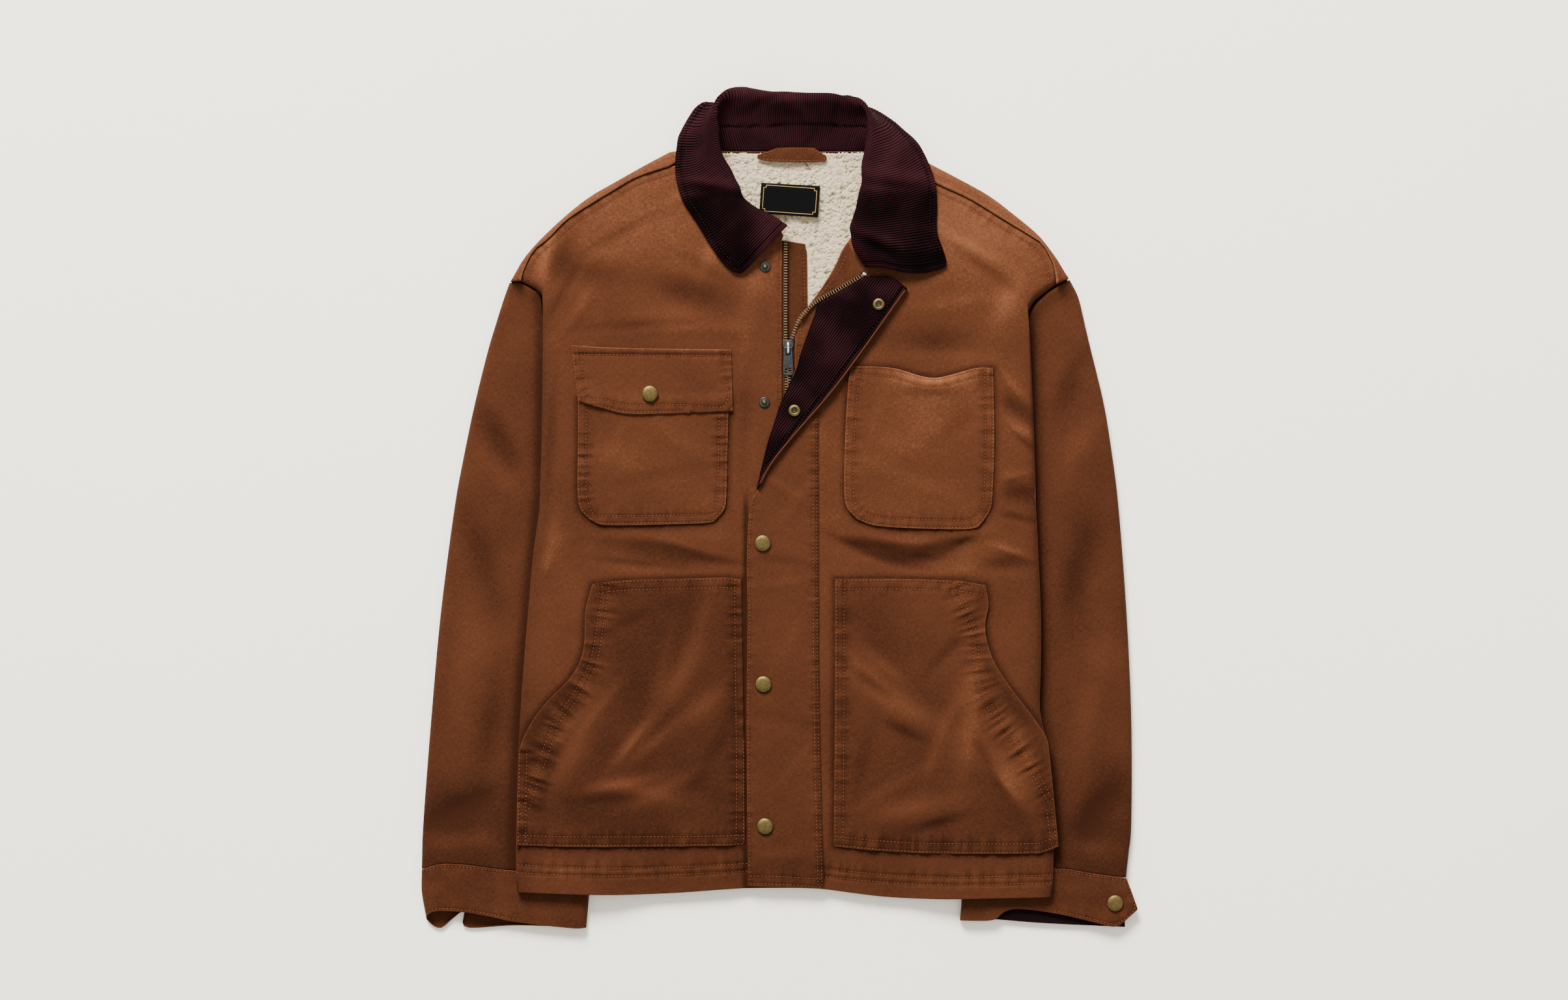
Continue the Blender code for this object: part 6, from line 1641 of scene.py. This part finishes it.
# the left end hangs a little lower than its two corners, and both corners are blunt
bow = smoothStep(across, 0.93, 1.0) * np.sin(math.pi * np.clip((down - 0.40) / 0.62, 0, 1))
points[..., 1] -= 6.0 * bow
for corner, toX, toY in ((points[-1, -1].copy(), -0.9, 0.3), (points[-1, 0].copy(), 0.2, 0.9)):
    near = bell(np.linalg.norm(points - corner, axis=2), 4.5)
    points[..., 0] += 2.4 * near * toX
    points[..., 1] += 2.4 * near * toY
points[..., 2] = np.maximum(points[..., 2], 0.5)
# tone: rib tops lighter and painted shade in the valleys between ribs, painted shading on the soft folds and ripples,
# painted shade in the stand seam and the sewn groove, and painted shade below the creases
wear = rib * flat * 0.95 + 0.12 * soft - 0.5 * standSeam - 0.10 * groove + 0.1 * ripple - 0.30 * inShade
flatPlan = np.stack([lengthwise, fromNeck], axis=2)
piece = clothPiece("collar_cloth", points, corduroy, collarLook["wall"], wear=wear, weave=flatPlan, turnIn=5)
settle(piece, "jacket", ["collar"])


def sewOver(name, line3, carrier, finish, pitch=3.3):
    # beads of thread along a line that already has its heights
    world = toWorld(line3)
    reach = travelled(world)
    along = np.arange(1.5 * mm, reach[-1], pitch * mm)
    spots = np.column_stack([np.interp(along, reach, world[:, k]) for k in range(3)])
    tree, places = treeOf(carrier), []
    for spot, ahead in zip(spots, np.gradient(spots, axis=0)):
        near, normal = tree.find_nearest(Vector(spot))[:2]
        places.append(beadPlace(near, normal, Vector(ahead).normalized(), 0.1))
    return settle(repeatShape("stitches_" + name, threadBead(), places, finish), "jacket")


bestRow = np.argmin(np.abs(fromEdge - collarLook["sewnIn"]), axis=0)
line3 = points[bestRow, np.arange(points.shape[1])][26:-26:6]
stitches = sewOver("collar", line3, piece, darkThread)
layCloth(flatPlan, stitches)
print("collar ready")


# ---- hanger loop and label in the neck

columns, rows = edgeShares(50, 66), edgeShares(12, 11, rim=(0.2, 0.5, 0.9, 1.4))
plan = panelPlan([(-21, 334), (-14, 332), (-5, 331.2), (18, 330.4), (41, 331), (44, 332), (45.5, 334)],
                 [(-20.6, 337.5), (-12, 340.4), (-3.0, 343.6), (-2.4, 344), (16, 344.4), (33, 344),
                  (33.6, 343.6), (39, 340.4), (44.5, 337)],
                 [(-21, 334), (-20.6, 337.5)], [(45.5, 334), (44.5, 337)], columns, rows)
x, y = plan[..., 0], plan[..., 1]
height = 15.0 + 0.9 * bell(x - 14, 16) + 0.2 * softNoise(x, y, 7, 5)
height = height - 0.35 * bell(rimDistance(plan) - 1.8, 0.6)
wear = 0.5 * bell(rimDistance(plan), 0.8) - 0.2 + 0.2 * softNoise(x, y, 8, 2)
loopRows = [{"line": [(-19, 334.6), (-13, 333.2), (-4, 332.7), (18, 332), (40, 332.5), (44, 334.4)]},
            {"line": [(-19, 336.8), (-12, 339), (-2, 342.3), (16, 342.8), (32, 342.4), (39, 339), (43, 336.6)]}]
layPanel("hanger_loop", plan, height, canvas, "canvas", ["lining", "collar"], loopRows, part="_strip", wall=1.3,
         wear=wear, turnIn=4)

labelLook = {"low": [(-19, 282), (37, 278)], "high": [(-17, 311), (39, 308)], "level": 14.6, "border": 1.9}
columns, rows = edgeShares(40, 56), edgeShares(24, 30)
plan = panelPlan(labelLook["low"], labelLook["high"], [labelLook["low"][0], labelLook["high"][0]],
                 [labelLook["low"][1], labelLook["high"][1]], columns, rows)
x, y = plan[..., 0], plan[..., 1]
height = labelLook["level"] + 0.35 * softNoise(x, y, 14, 5) - 0.4 * bell(rimDistance(plan), 1.2)
piece = clothPiece("label_bare", withHeight(plan, height), labelWeave, 0.8, wear=0 * x, grain=4, turnIn=4)
settle(piece, "jacket", ["label"])
corner = [np.array(labelLook[key][k], float) for key, k in (("low", 0), ("low", 1), ("high", 1), ("high", 0))]
middle = sum(corner) / 4
sideways, upwards = (corner[1] - corner[0]) / 2, (corner[3] - corner[0]) / 2
outline = []
inset, notch = 0.90, 0.085
for turnX, turnY in ((-1, -1), (1, -1), (1, 1), (-1, 1)):
    nearX, nearY = inset - notch, inset - notch * 1.9
    first, last = ((turnX * inset, turnY * nearY), (turnX * nearX, turnY * inset))
    pair = [first, (turnX * nearX, turnY * nearY), last]
    outline += pair if turnX * turnY > 0 else pair[::-1]
outline.append(outline[0])
line = np.array([middle + a * sideways * 1.0 + b * upwards * 0.95 for a, b in outline])
fine = np.vstack([start + (end - start) * np.linspace(0, 1, 9)[:-1, None] for start, end in zip(line, line[1:])]
                 + [line[-1:]])
border = pipeAlong("label_border", fine, levelOver(piece, fine, 0.02), 0.34, goldThread, 0.6, 6)
layCloth(plan, border)
print("neck trims ready")


# ---- zip: guard strip, tapes, teeth, slider and pull tab

def layStrip(node, left, right, columns, rows, level, finish, slotName, wall, sewn=(), wearBase=0.0, crumpleSize=0.2):
    plan = betweenLines(left, right, columns, rows)
    x, y = plan[..., 0], plan[..., 1]
    relief, rubbedAndPaintedLight = sewnRelief(x, y, sewn)
    height = level + relief + crumpleSize * crumple(x, y, 33)
    wear = rubbedAndPaintedLight + wearBase + 0.5 * bell(rimDistance(plan), 0.8)
    layPanel(node, plan, height, finish, slotName, ["front_right"], sewn, part="_strip", wall=wall, wear=wear,
             turnIn=3)


columns, rows = edgeShares(16, 20), edgeShares(240, 556)
# the guard strip's -0.25 is painted shade, as it lies low between the teeth and the flap
layStrip("zip_guard", [(6.4, -300), (6.4, 100), (6.4, 256)], [(27, -300), (27, 190), (25, 253)], columns, rows, 10.2,
         canvas, "canvas", 1.1, [{"line": [(24.6, 130), (24.6, 190), (22.8, 250)], "pucker": 0.15}], -0.25, 0.4)
columns = edgeShares(10, 13)
layStrip("zip_tape_right", [(-6, -300), (-6, 256)], [(7.2, -300), (7.2, 256)], columns, rows, 13.1, tape, "tape", 0.9)
layStrip("zip_tape_left", [(10, -300), (10, 100), (10, 158)], [(19, -300), (19, 100), (20, 158)], columns,
         edgeShares(200, 458), 13.1, tape, "tape", 0.9)

zipLook = {"pitch": 2.55, "tooth": (3.6, 1.25, 1.9), "closedTop": 147.0, "level": 14.5, "first": 0.6, "apart": 2.5}


def layTeeth(name, line, levels=None, swap=0.0):
    # one bevelled tooth, laid again and again along the tape's edge
    tooth = bmesh.new()
    bmesh.ops.create_cube(tooth, size=1)
    bmesh.ops.scale(tooth, verts=tooth.verts, vec=zipLook["tooth"])
    roundEdges(tooth, list(tooth.edges), 0.22, 1)
    bmesh.ops.scale(tooth, verts=tooth.verts, vec=(mm, mm, mm))
    levels = np.full(len(line), zipLook["level"]) if levels is None else levels
    reach, places = travelled(line), []
    for place in np.arange(zipLook["first"] + swap, reach[-1], zipLook["pitch"]):
        (x, y), after, before = [np.array([np.interp(place + step, reach, line[:, k]) for k in (0, 1)])
                                 for step in (0.0, 0.5, -0.5)]
        stepX, stepY = after - before
        level = float(np.interp(place, reach, levels))
        turned = Matrix.Rotation(math.atan2(stepY, stepX) - math.pi / 2, 4, "Z")
        places.append(Matrix.Translation(((x + shiftX) * mm, (y + shiftY) * mm, level * mm)) @ turned)
    settle(repeatShape(name, tooth, places, toothBrass, smooth=False), "jacket")


layTeeth("zip_teeth_right", smoothLine([(6.2, 160.5), (6.1, 200), (6.2, 256)]))
line = smoothLine([(12.0, 163), (14.5, 170), (19, 181), (27.5, 191), (37, 198.7), (52.6, 207.3), (68, 216.2),
                   (79, 222.6)])
facingLevel = levelOver(bpy.data.objects["facing_left_cloth"], line, 0.7)
facingLevel[:3] = np.minimum(facingLevel[:3], [15.2, 16.2, 17.2])
layTeeth("zip_teeth_left", line, np.maximum(facingLevel, 15.0))
line = smoothLine([(6.9, 60), (7.0, 100), (7.2, zipLook["closedTop"])])
layTeeth("zip_teeth_closed_right", line)
layTeeth("zip_teeth_closed_left", line + [zipLook["apart"], 0], swap=zipLook["pitch"] / 2)

zipMiddle, hingeAt, hingeLevel = 8.6, 153.8, 16.7


def solidBox(bm, low, high, radius):
    # a box between two corners with rounded edges
    made = bmesh.ops.create_cube(bm, size=1)["verts"]
    size, middle = Vector(high) - Vector(low), (Vector(low) + Vector(high)) / 2
    bmesh.ops.scale(bm, verts=made, vec=size)
    bmesh.ops.translate(bm, verts=made, vec=middle)
    roundEdges(bm, list({edge for vert in made for edge in vert.link_edges}), radius)


plateRise = 1.3
ceiling = hingeLevel - 1.55
bm = bmesh.new()
for low, high, radius in (((-5.1, -7.0, 10.9 - ceiling), (5.1, 8.0, 11.8 - ceiling), 0.4),
                          ((-0.9, 1.0, 11.3 - ceiling), (0.9, 7.2, -0.4), 0.2)):
    solidBox(bm, (zipMiddle + low[0], hingeAt + low[1], ceiling + low[2]),
             (zipMiddle + high[0], hingeAt + high[1], ceiling + high[2]), radius)
# top plate, narrow at its lower end where the teeth come out closed
profile = [(-3.4, -7.2), (-3.6, -3.0), (-5.2, 2.5), (-5.3, 6.4), (-4.4, 8.2), (0, 7.4), (4.4, 8.2), (5.3, 6.4),
           (5.2, 2.5), (3.6, -3.0), (3.4, -7.2)]
plate = bm.faces.new([bm.verts.new((zipMiddle + px, hingeAt + py, ceiling)) for px, py in profile[::-1]])
if plate.normal.z < 0:
    plate.normal_flip()
raised = bmesh.ops.extrude_face_region(bm, geom=[plate])["geom"]
bmesh.ops.translate(bm, verts=ofKind(raised, bmesh.types.BMVert), vec=(0, 0, -plateRise))
roundEdges(bm, list(plate.edges), 0.45)
bmesh.ops.recalc_face_normals(bm, faces=bm.faces)
toPlace(bm)
settle(bmeshPiece("slider_body", bm, gunmetal), "jacket", ["slider"])

# the bridge that holds the tab
bridge = smoothLine([(-5.6, -0.6), (-5.6, 1.4), (-4.6, 3.3), (-2, 4.1), (2, 4.1), (4.6, 3.3), (5.6, 1.4),
                     (5.6, -0.6)], 0.8)


def bridgeRing(number):
    ahead = bridge[min(number + 1, len(bridge) - 1)] - bridge[max(number - 1, 0)]
    ahead = Vector((0, ahead[0], ahead[1])).normalized()
    middle = Vector((zipMiddle, hingeAt + bridge[number][0], ceiling + bridge[number][1]))
    return middle, Vector((1.25, 0, 0)), Vector((1, 0, 0)).cross(ahead) * 0.62


settle(bmeshPiece("slider_bridge", sweepRing(len(bridge), bridgeRing, 12), chrome), "jacket")

tabLook = {"length": 27.0, "half": 5.0, "eye": 7.4, "thick": 1.5, "eyeHalf": 2.3, "slotHalf": 2.6}
bm = bmesh.new()
top = tabLook["thick"] / 2
foot = top - tabLook["length"]
levels = [top, -top, -tabLook["eye"], foot + 7.0, foot + 2.0, foot]
widths = [3.9, 4.0, 4.2, tabLook["half"], tabLook["half"], tabLook["half"] - 0.6]
rows = []
for level, width in zip(levels, widths):
    hole = tabLook["eyeHalf"] if level > foot + 8 else tabLook["slotHalf"]
    rows.append([bm.verts.new((across, level, top)) for across in (-width, -hole, hole, width)])
for number, (upper, lower) in enumerate(zip(rows, rows[1:])):
    for k in range(3):
        # left open: the eye at the bridge and the slot lower down
        if number in (1, 3) and k == 1:
            continue
        bm.faces.new((lower[k], lower[k + 1], upper[k + 1], upper[k]))
bmesh.ops.recalc_face_normals(bm, faces=bm.faces)
if bm.faces[0].normal.z < 0:
    bmesh.ops.reverse_faces(bm, faces=bm.faces)
bmesh.ops.solidify(bm, geom=list(bm.faces), thickness=tabLook["thick"])
sharp = [edge for edge in bm.edges if edge.calc_face_angle(0) > 0.5]
roundEdges(bm, sharp, 0.32)
bmesh.ops.recalc_face_normals(bm, faces=bm.faces)
bmesh.ops.translate(bm, verts=bm.verts, vec=(zipMiddle, hingeAt, hingeLevel))
toPlace(bm)
settle(bmeshPiece("pull_tab_plate", bm, gunmetal), "pull_tab", ["pull_tab"])

# metal stop at the top of the left teeth
bm = bmesh.new()
solidBox(bm, (79.2, 222.4, 18.6), (83.0, 225.0, 20.6), 0.5)
toPlace(bm)
settle(bmeshPiece("zip_stop", bm, chrome), "jacket")
print("zip ready")


# ---- snaps

snapLook = {
    "cap": [(0, 2.75), (3.2, 2.72), (5.2, 2.55), (6.3, 2.2), (6.75, 1.95), (6.95, 1.9), (7.3, 1.75), (7.65, 1.3),
            (7.75, 0.7), (7.6, 0.25), (7.1, 0.0), (0, 0.0)],
    "socket": [(2.2, 0.1), (5.3, 0.0), (5.65, 0.3), (5.7, 0.8), (5.4, 1.4), (4.9, 1.75), (4.5, 1.6), (4.1, 1.95),
               (3.4, 2.0), (2.9, 1.75), (2.4, 1.2), (2.2, 0.7)],
    "stud": [(0, 0), (5.0, 0), (5.1, 0.4), (4.9, 0.9), (4.2, 1.25), (3.2, 1.05), (2.5, 0.95), (2.15, 1.3),
             (2.25, 2.2), (2.0, 2.9), (1.3, 3.25), (0, 3.3)],
}
snapPosts = {
    "socket": [(0.0, 0.3), (2.15, 0.3), (2.15, 0.9), (1.4, 0.6), (0.0, 0.5)],
    "stud": [(0.0, 3.2), (1.5, 3.2), (1.7, 3.35), (1.2, 3.6), (0.0, 3.7)],
}


def turnPiece(name, profile, closed, steps, box, metal, nodes=()):
    # a round piece turned from its profile, on the middle of its solid's box
    low, high = box
    bm = bmesh.new()
    verts = [bm.verts.new((radius, 0, level)) for radius, level in profile]
    edges = [bm.edges.new(pair) for pair in zip(verts, verts[1:] + verts[:1] if closed else verts[1:])]
    bmesh.ops.spin(bm, geom=verts + edges, cent=(0, 0, 0), axis=(0, 0, 1), angle=math.tau, steps=steps,
                   use_merge=True)
    bmesh.ops.remove_doubles(bm, verts=bm.verts, dist=0.001)
    bmesh.ops.recalc_face_normals(bm, faces=bm.faces)
    bmesh.ops.scale(bm, verts=bm.verts, vec=(mm, mm, mm))
    bmesh.ops.translate(bm, verts=bm.verts, vec=((low.x + high.x) / 2, (low.y + high.y) / 2, low.z))
    settle(bmeshPiece(name, bm, metal), "jacket", nodes)


for node in ("cap_flap_1", "cap_flap_2", "cap_flap_3", "cap_pocket", "cap_cuff", "socket_1", "socket_2", "stud_1",
             "stud_2"):
    kind, box = node.split("_")[0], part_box(node)
    metal, slotName = (gunmetal, "gunmetal") if kind == "stud" else (brass, "brass")
    turnPiece(node + "_metal", snapLook[kind], kind == "socket", 40, box, metal, [node])
    if kind in snapPosts:
        # a rolled eyelet in a socket, a bright nub on a stud
        post = gunmetal if kind == "socket" else brass
        turnPiece(node + "_post", snapPosts[kind], False, 28, box, post)
print("snaps ready")
